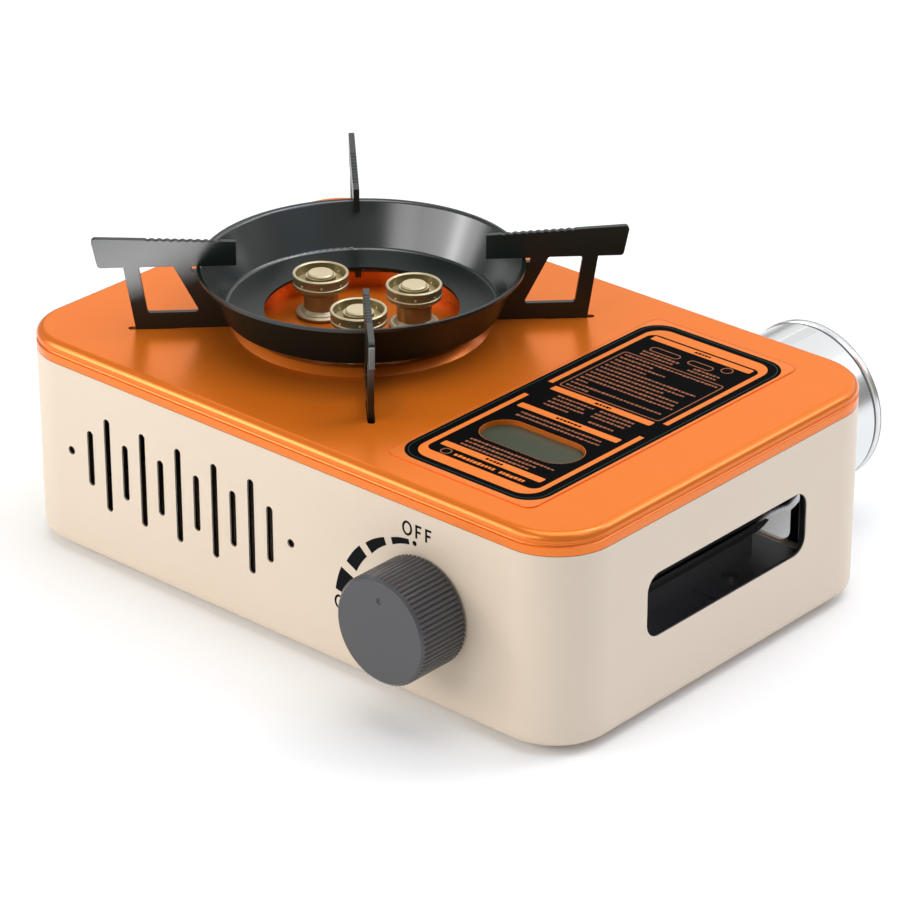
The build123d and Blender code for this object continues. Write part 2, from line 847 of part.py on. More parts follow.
with BuildPart() as gas_canister:
    with BuildSketch(axis_plane):
        with BuildLine():
            TangentArc((0, bottom_y), (rim_inner_radius, rim_front_y), tangent=(1, 0))
            Polyline(
                (rim_inner_radius, rim_front_y),
                (rim_inner_radius, rim_y - canister_rim_edge),
                (rim_inner_radius + canister_rim_edge, rim_y),
                (rim_radius - canister_rim_edge, rim_y),
                (rim_radius, rim_y - canister_rim_edge),
                (rim_radius, rim_front_y + canister_rim_edge),
                (rim_groove_radius, rim_front_y),
                (rim_groove_radius, rim_groove_y),
                (canister_radius, rim_groove_y - canister_rim_groove),
                (canister_radius, shoulder_y),
            )
            EllipticalCenterArc(
                (canister_neck_radius, shoulder_y),
                canister_radius - canister_neck_radius,
                canister_shoulder,
                start_angle=270,
                arc_size=quarter_turn,
            )
            Polyline(
                (canister_neck_radius, neck_rear_y),
                (canister_neck_radius, neck_front_y),
                (valve_hole_radius, neck_front_y),
                (valve_hole_radius, neck_front_y + canister_sheet),
                (neck_inner_radius, neck_front_y + canister_sheet),
                (neck_inner_radius, neck_rear_y + canister_sheet),
            )
            EllipticalCenterArc(
                (neck_inner_radius, shoulder_y),
                can_inner_radius - neck_inner_radius,
                canister_shoulder - canister_sheet,
                start_angle=270,
                arc_size=quarter_turn,
            )
            Polyline(
                (can_inner_radius, shoulder_y),
                (can_inner_radius, bottom_inner_y),
                (0, bottom_inner_y),
                (0, bottom_y),
            )
        make_face()
    revolve(axis=gas_axis)
gas_canister.part.label = "gas_canister"
export_step(gas_canister.part, "parts/gas_canister.step")

with BuildPart() as canister_valve:
    with BuildSketch(axis_plane):
        with BuildLine():
            Polyline(
                (0, collar_y - nozzle_length),
                (nozzle_radius, collar_y - nozzle_length),
                (nozzle_radius, collar_y),
                (canister_neck_radius, collar_y),
                (canister_neck_radius, neck_front_y),
                (valve_hole_radius - running_gap, neck_front_y),
                (valve_hole_radius - running_gap, neck_front_y + valve_plug),
                (0, neck_front_y + valve_plug),
                close=True,
            )
        make_face()
    revolve(axis=gas_axis)
    # The notch that sets the cartridge upright
    with BuildSketch(front_plane(collar_y)):
        with Locations((canister_x, canister_z + canister_neck_radius)):
            Rectangle(valve_notch, valve_notch)
    extrude(amount=-valve_flange, mode=Mode.SUBTRACT)
canister_valve.part.label = "canister_valve"
export_step(canister_valve.part, "parts/canister_valve.step")

# Heat shield between the burners and the cartridge, folded at its foot

shield_x = canister_x - canister_radius - shield_clear
shield_top_z = cover_under_z - fit_gap
shield_length = body_depth - corner_radius * 2
lead_z = canister_z + regulator_radius + fit_gap + piezo_radius
piezo_front_y = front_inner_y + piezo_setback
piezo_rear_y = piezo_front_y + piezo_length
lead_start_y = piezo_rear_y + piezo_neck_length
lead_y = lead_start_y + lead_run

with BuildPart() as heat_shield:
    with BuildSketch(front_plane(mid_y)):
        with BuildLine():
            Polyline(
                (shield_x, floor_z),
                (shield_x, shield_top_z),
                (shield_x - shield_sheet, shield_top_z),
                (shield_x - shield_sheet, floor_z + shield_sheet),
                (shield_x - shield_flange, floor_z + shield_sheet),
                (shield_x - shield_flange, floor_z),
                close=True,
            )
        make_face()
    extrude(amount=shield_length / 2, both=True)
    with BuildSketch(Plane.YZ.offset(shield_x)):
        with Locations((outlet_y, canister_z)):
            Circle(tube_radius + shield_hole_gap)
        with Locations((lead_y, lead_z)):
            Circle(lead_radius + shield_hole_gap)
    extrude(amount=shield_sheet + cut_overrun, both=True, mode=Mode.SUBTRACT)
heat_shield.part.label = "heat_shield"
export_step(heat_shield.part, "parts/heat_shield.step")

# Tray on the floor of the cartridge bay, turned up along the heat shield

tray_x = shield_x + fit_gap
tray_inset = base_edge_radius + fit_gap
tray_top_z = floor_z + tray_sheet
tray_cut_width = tray_x - left_x

with BuildPart() as bay_tray:
    with BuildSketch(Plane.XY.offset(floor_z)):
        with Locations((0, mid_y)):
            RectangleRounded(body_width - tray_inset * 2, body_depth - tray_inset * 2, corner_radius - tray_inset)
        with Locations((left_x + tray_cut_width / 2, mid_y)):
            Rectangle(tray_cut_width, body_depth, mode=Mode.SUBTRACT)
        with Locations(*pillar_places):
            Circle(pillar_radius + fit_gap, mode=Mode.SUBTRACT)
        with Locations(*cradle_tab_places):
            Circle(screw_hole_radius, mode=Mode.SUBTRACT)
    extrude(amount=tray_sheet)
    with BuildSketch(Plane.XY.offset(floor_z)):
        with Locations((tray_x + tray_sheet / 2, mid_y)):
            Rectangle(tray_sheet, shield_length)
    extrude(amount=tray_upturn)
bay_tray.part.label = "bay_tray"
export_step(bay_tray.part, "parts/bay_tray.step")

# Cradle: a trough under the cartridge on two legs, with screwed tabs

trough_radius = canister_radius + cradle_gap
trough_outer_radius = trough_radius + cradle_sheet
trough_edge_drop = trough_radius * cos(radians(cradle_half_angle))
trough_middle_radius = trough_radius + cradle_sheet / 2
leg_top_z = canister_z - sqrt(trough_middle_radius**2 - cradle_leg_aside**2)

with BuildPart() as canister_cradle:
    with BuildSketch(front_plane(cradle_rear_y)):
        with Locations((canister_x, canister_z)):
            Circle(trough_outer_radius)
            Circle(trough_radius, mode=Mode.SUBTRACT)
        with Locations((canister_x, canister_z - trough_edge_drop)):
            Rectangle(
                trough_outer_radius * 2,
                trough_outer_radius * 2,
                align=(Align.CENTER, Align.MIN),
                mode=Mode.SUBTRACT,
            )
        with Locations((canister_x - cradle_leg_aside, tray_top_z), (canister_x + cradle_leg_aside, tray_top_z)):
            Rectangle(cradle_sheet, leg_top_z - tray_top_z, align=(Align.CENTER, Align.MIN))
    extrude(amount=cradle_length)
    with BuildSketch(Plane.XY.offset(tray_top_z)):
        with Locations(*cradle_tab_places):
            Rectangle(cradle_tab_width, cradle_tab_length)
    extrude(amount=cradle_sheet)
    with BuildSketch(Plane.XY.offset(tray_top_z)):
        with Locations(*cradle_tab_places):
            Circle(screw_hole_radius)
    extrude(amount=cradle_sheet + cut_overrun, mode=Mode.SUBTRACT)
canister_cradle.part.label = "canister_cradle"
export_step(canister_cradle.part, "parts/canister_cradle.step")

cradle_screw_z = tray_top_z + cradle_sheet

with BuildPart() as cradle_screws:
    with BuildSketch(Plane.XY.offset(base_z)):
        with Locations(*cradle_tab_places):
            Circle(screw_radius)
    extrude(amount=cradle_screw_z - base_z)
    with BuildSketch(Plane.XY.offset(cradle_screw_z)):
        with Locations(*cradle_tab_places):
            Circle(screw_head_radius)
    extrude(amount=screw_head_height)
    with BuildSketch(Plane.XY.offset(cradle_screw_z + screw_head_height)):
        with Locations(*cradle_tab_places):
            Rectangle(screw_head_radius * 2, screw_slot_width)
    extrude(amount=-screw_head_height / 2, mode=Mode.SUBTRACT)
cradle_screws.part.label = "cradle_screws"
export_step(cradle_screws.part, "parts/cradle_screws.step")

# Drip pan: one turned sheet, from the edge of its hole up to a small lip

pan_hole_height = pan_floor_height - pan_floor_fall
pan_wall_top_radius = pan_rim_radius - pan_lip
pan_line_top = pan_rim_height - pan_sheet / 2

with BuildPart() as drip_pan:
    with BuildSketch(upright_plane(pan_middle)):
        with BuildLine():
            FilletPolyline(
                (pan_hole_radius, top_z + pan_hole_height),
                (pan_floor_radius, top_z + pan_floor_height),
                (pan_wall_top_radius, top_z + pan_line_top),
                (pan_rim_radius, top_z + pan_line_top),
                radius=(pan_bend, pan_lip_bend),
            )
        trace(line_width=pan_sheet)
    revolve(axis=upright_axis(pan_middle))
drip_pan.part.label = "drip_pan"
export_step(drip_pan.part, "parts/drip_pan.step")

# Pot supports: flat plates that hook over the collar, stand on the cover and rest on the pan's rim

wall_lean = (pan_wall_top_radius - pan_floor_radius) / (pan_line_top - pan_floor_height)
wall_offset = (pan_sheet / 2 + fit_gap) * sqrt(1 + wall_lean**2)
floor_lean = pan_floor_fall / (pan_floor_radius - pan_hole_radius)
floor_offset = pan_sheet / 2 + fit_gap
bar_inner_radius = pan_rim_radius - bar_inset
bar_outer_radius = pan_rim_radius + bar_reach
leg_top_radius = pan_rim_radius + leg_reach
bar_bottom = bar_height - bar_drop
bar_seat = pan_rim_height + fit_gap
notch_base = pan_rim_height - pan_sheet - fit_gap
foot_notch_radius = collar_base_radius + fit_gap * 2
hook_outer_radius = well_radius - fit_gap * 2
hook_inner_radius = hook_outer_radius - foot_hook_length
bridge_base = collar_height + fit_gap
leg_lean = (leg_top_radius - foot_end_radius) / bar_bottom
bar_slope = bar_rise / (bar_outer_radius - bar_inner_radius)
notch_first_radius = bar_outer_radius - notch_start


def wall_radius(height):
    """Where a support's inner edge clears the pan's wall, at a height above the cover."""
    return pan_floor_radius + (height - pan_floor_height) * wall_lean + wall_offset


def under_floor(radius):
    """The height above the cover where a support's foot clears the underside of the pan's floor."""
    return pan_floor_height - (pan_floor_radius - radius) * floor_lean - floor_offset


def bar_top(radius):
    """The height of the bar's sloping top edge."""
    return bar_height - (bar_outer_radius - radius) * bar_slope


notch_radii = [notch_first_radius - i * notch_pitch for i in range(notch_count)]
notch_places = [(radius, top_z + bar_top(radius) + notch_radius - notch_depth) for radius in notch_radii]
support_outline = [
    (bar_inner_radius, bar_top(bar_inner_radius)),
    (bar_outer_radius, bar_height),
    (bar_outer_radius - bar_end_slant, bar_bottom),
    (leg_top_radius, bar_bottom),
    (foot_end_radius, 0),
    (foot_notch_radius, 0),
    (foot_notch_radius, bridge_base),
    (hook_outer_radius, bridge_base),
    (hook_outer_radius, bridge_base - foot_hook_drop),
    (hook_inner_radius, bridge_base - foot_hook_drop),
    (hook_inner_radius, under_floor(hook_inner_radius)),
    (pan_floor_radius, under_floor(pan_floor_radius)),
    (wall_radius(pan_floor_height), under_floor(pan_floor_radius)),
    (wall_radius(notch_base), notch_base),
    (pan_rim_radius + rim_notch, notch_base),
    (pan_rim_radius + rim_notch, bar_seat),
    (bar_inner_radius, bar_seat),
]
window_outline = [
    (wall_radius(foot_bar) + inner_leg, foot_bar),
    (foot_end_radius + foot_bar * leg_lean - outer_leg, foot_bar),
    (leg_top_radius - outer_leg, bar_bottom),
    (wall_radius(bar_bottom) + inner_leg, bar_bottom),
]

for number in range(1, support_count + 1):
    angle = support_first_angle + (number - 1) * 360 / support_count
    along = (cos(radians(angle)), sin(radians(angle)), 0)
    across = (sin(radians(angle)), -cos(radians(angle)), 0)
    plate_plane = Plane(origin=(*pan_middle, 0), x_dir=along, z_dir=across)
    with BuildPart() as pot_support:
        with BuildSketch(plate_plane) as plate_face:
            with BuildLine():
                Polyline(*[(radius, top_z + height) for radius, height in support_outline], close=True)
            make_face()
            # The two corners of the bar's outer end are rounded
            fillet(plate_face.vertices().sort_by(Axis.X)[-2:], radius=bar_end_radius)
            with BuildLine():
                Polyline(*[(radius, top_z + height) for radius, height in window_outline], close=True)
            make_face(mode=Mode.SUBTRACT)
            fillet(plate_face.faces()[0].inner_wires()[0].vertices(), radius=plate_corner_radius)
            with Locations((tab_outer_radius, top_z)):
                Rectangle(tab_length, tab_depth * 2, align=(Align.MAX, Align.CENTER))
            with Locations(*notch_places):
                Circle(notch_radius, mode=Mode.SUBTRACT)
        extrude(amount=support_sheet / 2, both=True)
    pot_support.part.label = f"pot_support_{number}"
    export_step(pot_support.part, f"parts/pot_support_{number}.step")

# Igniter: a piezo unit on the regulator, a ceramic electrode beside the front burner, and the lead between them

electrode_base_z = well_under_z - electrode_below
electrode_top_z = well_floor_z + electrode_above

with BuildPart() as piezo_igniter:
    with BuildSketch(front_plane(piezo_front_y)):
        with Locations((canister_x, lead_z)):
            Circle(piezo_radius)
    extrude(amount=-piezo_length)
    with BuildSketch(front_plane(piezo_rear_y)):
        with Locations((canister_x, lead_z)):
            Circle(piezo_neck_radius)
    extrude(amount=-piezo_neck_length)
piezo_igniter.part.label = "piezo_igniter"
export_step(piezo_igniter.part, "parts/piezo_igniter.step")

with BuildPart() as igniter_electrode:
    with BuildSketch(upright_plane(electrode_place)):
        with BuildLine():
            Polyline(
                (0, electrode_base_z),
                (electrode_radius, electrode_base_z),
                (electrode_radius, well_floor_z),
                (electrode_collar_radius, well_floor_z),
                (electrode_collar_radius, well_floor_z + electrode_collar),
                (electrode_radius, well_floor_z + electrode_collar),
                (electrode_radius, electrode_top_z),
                (electrode_tip_radius, electrode_top_z + electrode_collar),
                (electrode_tip_radius, electrode_top_z + electrode_tip),
                (0, electrode_top_z + electrode_tip),
                close=True,
            )
        make_face()
    revolve(axis=upright_axis(electrode_place))
igniter_electrode.part.label = "igniter_electrode"
export_step(igniter_electrode.part, "parts/igniter_electrode.step")

lead_start = (canister_x, lead_start_y, lead_z)
lead_points = [
    lead_start,
    (canister_x, lead_y, lead_z),
    (shield_x - shield_flange, lead_y, lead_z),
    (electrode_x, electrode_y, electrode_base_z - lead_drop),
    (electrode_x, electrode_y, electrode_base_z),
]

with BuildPart() as igniter_lead:
    with BuildLine() as lead_path:
        FilletPolyline(*lead_points, radius=lead_bend)
    with BuildSketch(Plane(origin=lead_start, z_dir=(0, 1, 0))):
        Circle(lead_radius)
    sweep(path=lead_path.line)
igniter_lead.part.label = "igniter_lead"
export_step(igniter_lead.part, "parts/igniter_lead.step")
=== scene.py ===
# %% [markdown]
# # A portable gas stove, dressed for its picture
# The stove's solids were drawn as CAD, and they arrive here packed as a fixed frame: every sheet, screw and burner is
# already in its place, in metres. This lesson gives those solids their finishes, adds the printing that is too thin to
# be a solid, and lights the result. Modelling the stove again in Blender would risk a second, different stove, so the
# frame is loaded as it is and only dressed.

# %% Load the frame
import math
import random

import bpy
from mathutils import Matrix, Vector


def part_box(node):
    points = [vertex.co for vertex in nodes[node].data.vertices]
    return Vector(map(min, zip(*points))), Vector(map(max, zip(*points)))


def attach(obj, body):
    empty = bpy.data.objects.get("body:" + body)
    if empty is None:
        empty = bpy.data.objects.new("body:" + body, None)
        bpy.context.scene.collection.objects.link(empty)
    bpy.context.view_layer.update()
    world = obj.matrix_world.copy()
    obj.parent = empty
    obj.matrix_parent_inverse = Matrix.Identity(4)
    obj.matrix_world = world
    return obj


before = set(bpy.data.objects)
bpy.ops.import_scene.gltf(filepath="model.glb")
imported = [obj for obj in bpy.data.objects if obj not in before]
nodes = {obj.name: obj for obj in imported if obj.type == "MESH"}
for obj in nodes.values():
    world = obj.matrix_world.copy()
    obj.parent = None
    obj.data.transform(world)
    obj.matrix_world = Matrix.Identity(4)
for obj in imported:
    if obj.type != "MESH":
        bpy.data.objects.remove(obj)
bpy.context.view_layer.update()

MM = 0.001
scene = bpy.context.scene
tub_low, tub_high = (Vector(corner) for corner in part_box("body_shell"))
tub_middle = (tub_low + tub_high) / 2

# %% [markdown]
# ## The camera
# The picture was taken with a long lens, from the front right and from above: the upright edges hardly converge. A
# camera can be aimed by a constraint, but a measured one is better written as three directions, because its matrix is
# then plain to read: the columns are its right, its up and the way back towards it.

# %% Camera
YAW, PITCH, ROLL = (math.radians(a) for a in (41.7332, 26.3257, -0.143))
SENSOR, FOCAL_LENGTH = 36.0, 157.69
STAND = Vector((924.815, -1031.86, 733.08)) * MM

back = Vector((math.sin(YAW) * math.cos(PITCH), -math.cos(YAW) * math.cos(PITCH), math.sin(PITCH)))
right = Vector((math.cos(YAW), math.sin(YAW), 0.0))
up = back.cross(right)
right, up = math.cos(ROLL) * right + math.sin(ROLL) * up, math.cos(ROLL) * up - math.sin(ROLL) * right

lens = bpy.data.cameras.new("camera")
lens.sensor_width = SENSOR
lens.lens = FOCAL_LENGTH
camera = bpy.data.objects.new("camera", lens)
scene.collection.objects.link(camera)
turn = Matrix((right, up, back)).transposed().to_4x4()
camera.matrix_world = Matrix.Translation(STAND + Vector((0, tub_middle.y, 0))) @ turn
scene.camera = camera
print("camera:", round(lens.lens, 1), "mm lens,", round(camera.location.length, 2), "m from the stove")

# %% [markdown]
# ## Colours and nodes
# A few small helpers carry all the finishes. Colours are easiest to read from a picture as sRGB hex values, but shaders
# work on linear light, so one function turns the first into the second. Another adds a node, sets it and links it, so
# that a finish below reads as a list of its nodes in order. No real coat is one flat colour, so a third mixes two close
# tones in soft patches; a fourth tells how far a surface faces up, which says where a glaze lies or where painted shade
# darkens the sides.

# %% Helpers for the finishes


def linear(hex_colour):
    """The linear RGBA of an sRGB colour such as "#f0823c"."""
    parts = [int(hex_colour[i:i + 2], 16) / 255 for i in (1, 3, 5)]
    return [c / 12.92 if c <= 0.04045 else ((c + 0.055) / 1.055) ** 2.4 for c in parts] + [1.0]


def add_node(tree, kind, settings=(), links=()):
    """Adds a node. A setting is a property, or an input by name or number; a link is an input and a socket."""
    node = tree.nodes.new(kind)
    for key, value in dict(settings).items():
        if isinstance(key, str) and hasattr(node, key):
            setattr(node, key, value)
        else:
            node.inputs[key].default_value = value
    for key, socket in dict(links).items():
        tree.links.new(socket, node.inputs[key])
    return node


def start_finish(name, colour, roughness, **sockets):
    """A new material: its tree and its shader, with what is the same all over set on the shader itself."""
    material = bpy.data.materials.new(name)
    material.use_nodes = True
    shader = material.node_tree.nodes["Principled BSDF"]
    shader.inputs["Base Color"].default_value = linear(colour)
    shader.inputs["Roughness"].default_value = roughness
    for key, value in sockets.items():
        shader.inputs[key.replace("_", " ")].default_value = value
    return material, material.node_tree, shader


def two_tones(tree, size, first, second, detail=2.0):
    """Two close tones in patches about size across; gives the sockets of the patches and of the mixed colour."""
    place = add_node(tree, "ShaderNodeTexCoord").outputs["Object"]
    patches = add_node(tree, "ShaderNodeTexNoise", {"Scale": 1 / size, "Detail": detail}, {"Vector": place})
    tone = add_node(tree, "ShaderNodeMix", {"data_type": "RGBA", 6: linear(first), 7: linear(second)},
                    {0: patches.outputs["Fac"]})
    return patches.outputs["Fac"], tone.outputs[2]


def facing_up(tree):
    """The socket that gives how far a surface faces up: 1 on a flat top, 0 on a wall, -1 below."""
    normal = add_node(tree, "ShaderNodeNewGeometry").outputs["Normal"]
    return add_node(tree, "ShaderNodeSeparateXYZ", {}, {0: normal}).outputs["Z"]


def dress(material, *names):
    """Gives a finish to CAD nodes."""
    for name in names:
        nodes[name].data.materials.clear()
        nodes[name].data.materials.append(material)
    print(material.name, "on", len(names), "nodes")


print("half-bright grey, #808080, is", round(linear("#808080")[0], 3), "in linear light")

# %% [markdown]
# ## Cream powder coat on the tub
# The tub is pressed steel with a baked powder coat. Powder melts into a film with a faint orange peel, waves about
# 1.5 mm wide, which softens every reflection. The inside and the cut edges are painted near-black: painted shade, which
# makes the vents and the window look black. The dark inside could be a second slot on some faces, but the frame's
# meshes stay untouched, so the finish works out from the position how deep a point lies under the outer skin. Close to
# the ground the skin itself turns under, so there the cream goes on.

# %% Cream powder coat
TUB_CORNER = 24.8 * MM
SKIN = 0.25 * MM
TURNS_UNDER = 6.2 * MM
PEEL = 1.5 * MM
PEEL_DEPTH = 0.1 * MM


def depth_under_skin(tree, place):
    """Nodes that give how far a point lies outside the tub's rounded outline; under the skin it is negative."""
    offset = add_node(tree, "ShaderNodeVectorMath", {"operation": "SUBTRACT", 1: tub_middle}, {0: place})
    flat = add_node(tree, "ShaderNodeVectorMath", {"operation": "MULTIPLY", 1: (1, 1, 0)}, {0: offset.outputs[0]})
    aside = add_node(tree, "ShaderNodeVectorMath", {"operation": "ABSOLUTE"}, {0: flat.outputs[0]})
    core = (tub_high - tub_low) / 2 - Vector((TUB_CORNER, TUB_CORNER, 0))
    past = add_node(tree, "ShaderNodeVectorMath", {"operation": "SUBTRACT", 1: core}, {0: aside.outputs[0]})
    clipped = add_node(tree, "ShaderNodeVectorMath", {"operation": "MAXIMUM", 1: (0, 0, 0)}, {0: past.outputs[0]})
    reach = add_node(tree, "ShaderNodeVectorMath", {"operation": "LENGTH"}, {0: clipped.outputs[0]})
    return add_node(tree, "ShaderNodeMath", {"operation": "SUBTRACT", 1: TUB_CORNER}, {0: reach.outputs["Value"]})


cream, tree, shader = start_finish("powder_coated_steel_cream", "#dfcdb8", 0.42, IOR=1.5)
place = add_node(tree, "ShaderNodeTexCoord").outputs["Object"]
_, tone = two_tones(tree, 60 * MM, "#ddcbb5", "#e1d0bc", 3.0)
skin = depth_under_skin(tree, place)
# Deeper than the skin and above the ground the colour turns near-black: painted shade inside the tub and on its cut
# edges
shade_below_skin = add_node(tree, "ShaderNodeMath", {"operation": "LESS_THAN", 1: -SKIN}, {0: skin.outputs[0]})
height = add_node(tree, "ShaderNodeSeparateXYZ", {}, {0: place}).outputs["Z"]
above_floor = add_node(tree, "ShaderNodeMath", {"operation": "GREATER_THAN", 1: TURNS_UNDER}, {0: height})
inside = add_node(tree, "ShaderNodeMath", {"operation": "MULTIPLY"},
                  {0: shade_below_skin.outputs[0], 1: above_floor.outputs[0]})
cream_or_painted_shade = add_node(tree, "ShaderNodeMix", {"data_type": "RGBA", 7: linear("#111112")}, {0: inside.outputs[0], 6: tone})
tree.links.new(cream_or_painted_shade.outputs[2], shader.inputs["Base Color"])
peel = add_node(tree, "ShaderNodeTexNoise", {"Scale": 1 / PEEL, "Detail": 1.0}, {"Vector": place})
bump = add_node(tree, "ShaderNodeBump", {"Strength": 0.05, "Distance": PEEL_DEPTH}, {"Height": peel.outputs["Fac"]})
tree.links.new(bump.outputs[0], shader.inputs["Normal"])
dress(cream, "body_shell")

# %% [markdown]
# ## Orange powder coat on the cover
# The cover is pressed from the same steel and coated the same way, but its orange holds a metallic pigment. The flakes
# mirror what stands on the cover in the paint's own colour, so the pan lies on it as a deep orange shade. Half a share
# of metal in the shader does that; a plain paint would add a white veil instead. Powder gathers thicker at an edge,
# where the electric field is strong, and flows out smoother there, so the shoulder and the skirt have a paler shine: a
# coat layer, kept off the flat top by the height of the surface's normal.

# %% Orange powder coat
EDGE_COAT = 0.6

orange, tree, shader = start_finish("metallic_powder_coat_orange", "#ef7b20", 0.27, Metallic=0.45,
                                    Specular_IOR_Level=0.1, Coat_Roughness=0.25)
_, tone = two_tones(tree, 45 * MM, "#ee781d", "#f07e23", 3.0)
tree.links.new(tone, shader.inputs["Base Color"])
place = add_node(tree, "ShaderNodeTexCoord").outputs["Object"]
peel = add_node(tree, "ShaderNodeTexNoise", {"Scale": 1 / PEEL, "Detail": 1.0}, {"Vector": place})
bump = add_node(tree, "ShaderNodeBump", {"Strength": 0.04, "Distance": PEEL_DEPTH}, {"Height": peel.outputs["Fac"]})
tree.links.new(bump.outputs[0], shader.inputs["Normal"])
edge = add_node(tree, "ShaderNodeMapRange", {"From Min": 0.9, "From Max": 0.98, "To Min": EDGE_COAT, "To Max": 0.0},
                {"Value": facing_up(tree)})
tree.links.new(edge.outputs[0], shader.inputs["Coat Weight"])
dress(orange, "top_cover")

# %% [markdown]
# ## Black enamel on the pan and the supports
# The pan and the supports are steel under a baked enamel, black with a trace of green and rather dry: it hardly mirrors
# the orange round it. Grains in the glaze, about 0.3 mm, vary the roughness a little; they are drawn three times as
# coarse. The pan's inside is glazed a second time, because it has to be wiped, and that coat shows the lights as broad
# bands; on the flat floor, next to the flames, the glaze has burnt thin. What looks up is the inside, so the height of
# the surface's normal says where the coat lies.

# %% Black enamel
GLAZE_GRAIN = 0.9 * MM
BURNT_GLAZE = 0.3
SUPPORTS = [f"pot_support_{i}" for i in (1, 2, 3, 4)]


def start_enamel(name, gloss, **sockets):
    """A black enamel with its grain; gloss is its specular level."""
    enamel, tree, shader = start_finish(name, "#111a16", 0.3, IOR=1.5, Specular_IOR_Level=gloss, **sockets)
    grain, tone = two_tones(tree, GLAZE_GRAIN, "#101814", "#131d18")
    rough = add_node(tree, "ShaderNodeMapRange", {"To Min": 0.26, "To Max": 0.34}, {"Value": grain})
    tree.links.new(rough.outputs[0], shader.inputs["Roughness"])
    tree.links.new(tone, shader.inputs["Base Color"])
    return enamel, tree, shader


plate_enamel, _, _ = start_enamel("baked_enamel_black", 0.45)
dress(plate_enamel, *SUPPORTS)

pan_enamel, tree, shader = start_enamel("twice_glazed_enamel_black", 0.06, Coat_IOR=1.9, Coat_Roughness=0.24)
facing = facing_up(tree)
inside = add_node(tree, "ShaderNodeMapRange", {"From Min": -0.1, "From Max": 0.1}, {"Value": facing})
wall = add_node(tree, "ShaderNodeMapRange", {"From Min": 0.92, "From Max": 0.99, "To Min": 1.0, "To Max": BURNT_GLAZE},
                {"Value": facing})
glaze = add_node(tree, "ShaderNodeMath", {"operation": "MULTIPLY"}, {0: inside.outputs[0], 1: wall.outputs[0]})
tree.links.new(glaze.outputs[0], shader.inputs["Coat Weight"])
dress(pan_enamel, "drip_pan")

# %% [markdown]
# ## Turned brass burners
# The burners are brass, turned on a lathe, so a fine spiral of tool marks runs round each axis. The marks are about
# 0.1 mm apart, which is too fine to show here, so they are drawn 0.45 mm apart. Heat leaves a thin film of oxide that
# scatters much of the light, so the finish is only half as metallic as polished brass. It lies in stains of about
# 4 mm. The sides are painted darker and greener than the tops: painted shade on the sides. Generated coordinates run
# from 0 to 1 across each burner's own box: one finish then has its rings centred on every burner.

# %% Turned brass
BURNER_ACROSS = 22.4 * MM
TOOL_MARK = 0.45 * MM
TOOL_MARK_DEPTH = 0.02 * MM
STAIN = BURNER_ACROSS / 6

brass, tree, shader = start_finish("turned_brass", "#cbb994", 0.28, Metallic=0.55)
place = add_node(tree, "ShaderNodeTexCoord").outputs["Generated"]
offset = add_node(tree, "ShaderNodeVectorMath", {"operation": "SUBTRACT", 1: (0.5, 0.5, 0.0)}, {0: place})
flat = add_node(tree, "ShaderNodeVectorMath", {"operation": "MULTIPLY", 1: (1, 1, 0)}, {0: offset.outputs[0]})
reach = add_node(tree, "ShaderNodeVectorMath", {"operation": "LENGTH"}, {0: flat.outputs[0]})
turns = add_node(tree, "ShaderNodeMath", {"operation": "MULTIPLY", 1: BURNER_ACROSS / TOOL_MARK * 2 * math.pi},
                 {0: reach.outputs["Value"]})
rings = add_node(tree, "ShaderNodeMath", {"operation": "SINE"}, {0: turns.outputs[0]})
bump = add_node(tree, "ShaderNodeBump", {"Strength": 0.12, "Distance": TOOL_MARK_DEPTH}, {"Height": rings.outputs[0]})
tree.links.new(bump.outputs[0], shader.inputs["Normal"])
stains = add_node(tree, "ShaderNodeTexNoise", {"Scale": BURNER_ACROSS / STAIN, "Detail": 4.0}, {"Vector": place})
tone = add_node(tree, "ShaderNodeMix", {"data_type": "RGBA", 6: linear("#cebc96"), 7: linear("#dccba8")},
                {0: stains.outputs["Fac"]})
# The sides get a darker, greener colour than the tops: painted shade
top_facing_share = add_node(tree, "ShaderNodeMapRange", {"From Min": 0.2, "From Max": 0.7}, {"Value": facing_up(tree)})
tone_with_painted_side_shade = add_node(tree, "ShaderNodeMix", {"data_type": "RGBA", 6: linear("#857b52")},
                {0: top_facing_share.outputs[0], 7: tone.outputs[2]})
tree.links.new(tone_with_painted_side_shade.outputs[2], shader.inputs["Base Color"])
dress(brass, "valve_spindle", *[f"burner_{part}_{i}" for part in ("stem", "head", "core") for i in (1, 2, 3)])

# %% [markdown]
# ## Tin-plated steel cartridge
# A gas cartridge is made of tinplate, bright and nearly white, with the faint lengthways marks of the rolled sheet. An
# anisotropic shader would smear the lights in the same way, but it has no marks to see from close by, so they are
# stretched noise: 0.8 mm across and 60 mm along.

# %% Tinplate
MARK_WIDE, MARK_LONG, MARK_DEPTH = 0.8 * MM, 60 * MM, 0.02 * MM

tinplate, tree, shader = start_finish("rolled_tinplate", "#e4e6e7", 0.24, Metallic=1.0)
place = add_node(tree, "ShaderNodeTexCoord").outputs["Object"]
stretch = add_node(tree, "ShaderNodeVectorMath", {"operation": "MULTIPLY", 1: (1, MARK_WIDE / MARK_LONG, 1)},
                   {0: place})
marks = add_node(tree, "ShaderNodeTexNoise", {"Scale": 1 / MARK_WIDE, "Detail": 2.0}, {"Vector": stretch.outputs[0]})
rough = add_node(tree, "ShaderNodeMapRange", {"To Min": 0.18, "To Max": 0.3}, {"Value": marks.outputs["Fac"]})
tree.links.new(rough.outputs[0], shader.inputs["Roughness"])
bump = add_node(tree, "ShaderNodeBump", {"Strength": 0.03, "Distance": MARK_DEPTH}, {"Height": marks.outputs["Fac"]})
tree.links.new(bump.outputs[0], shader.inputs["Normal"])
dress(tinplate, "gas_canister", "canister_valve")

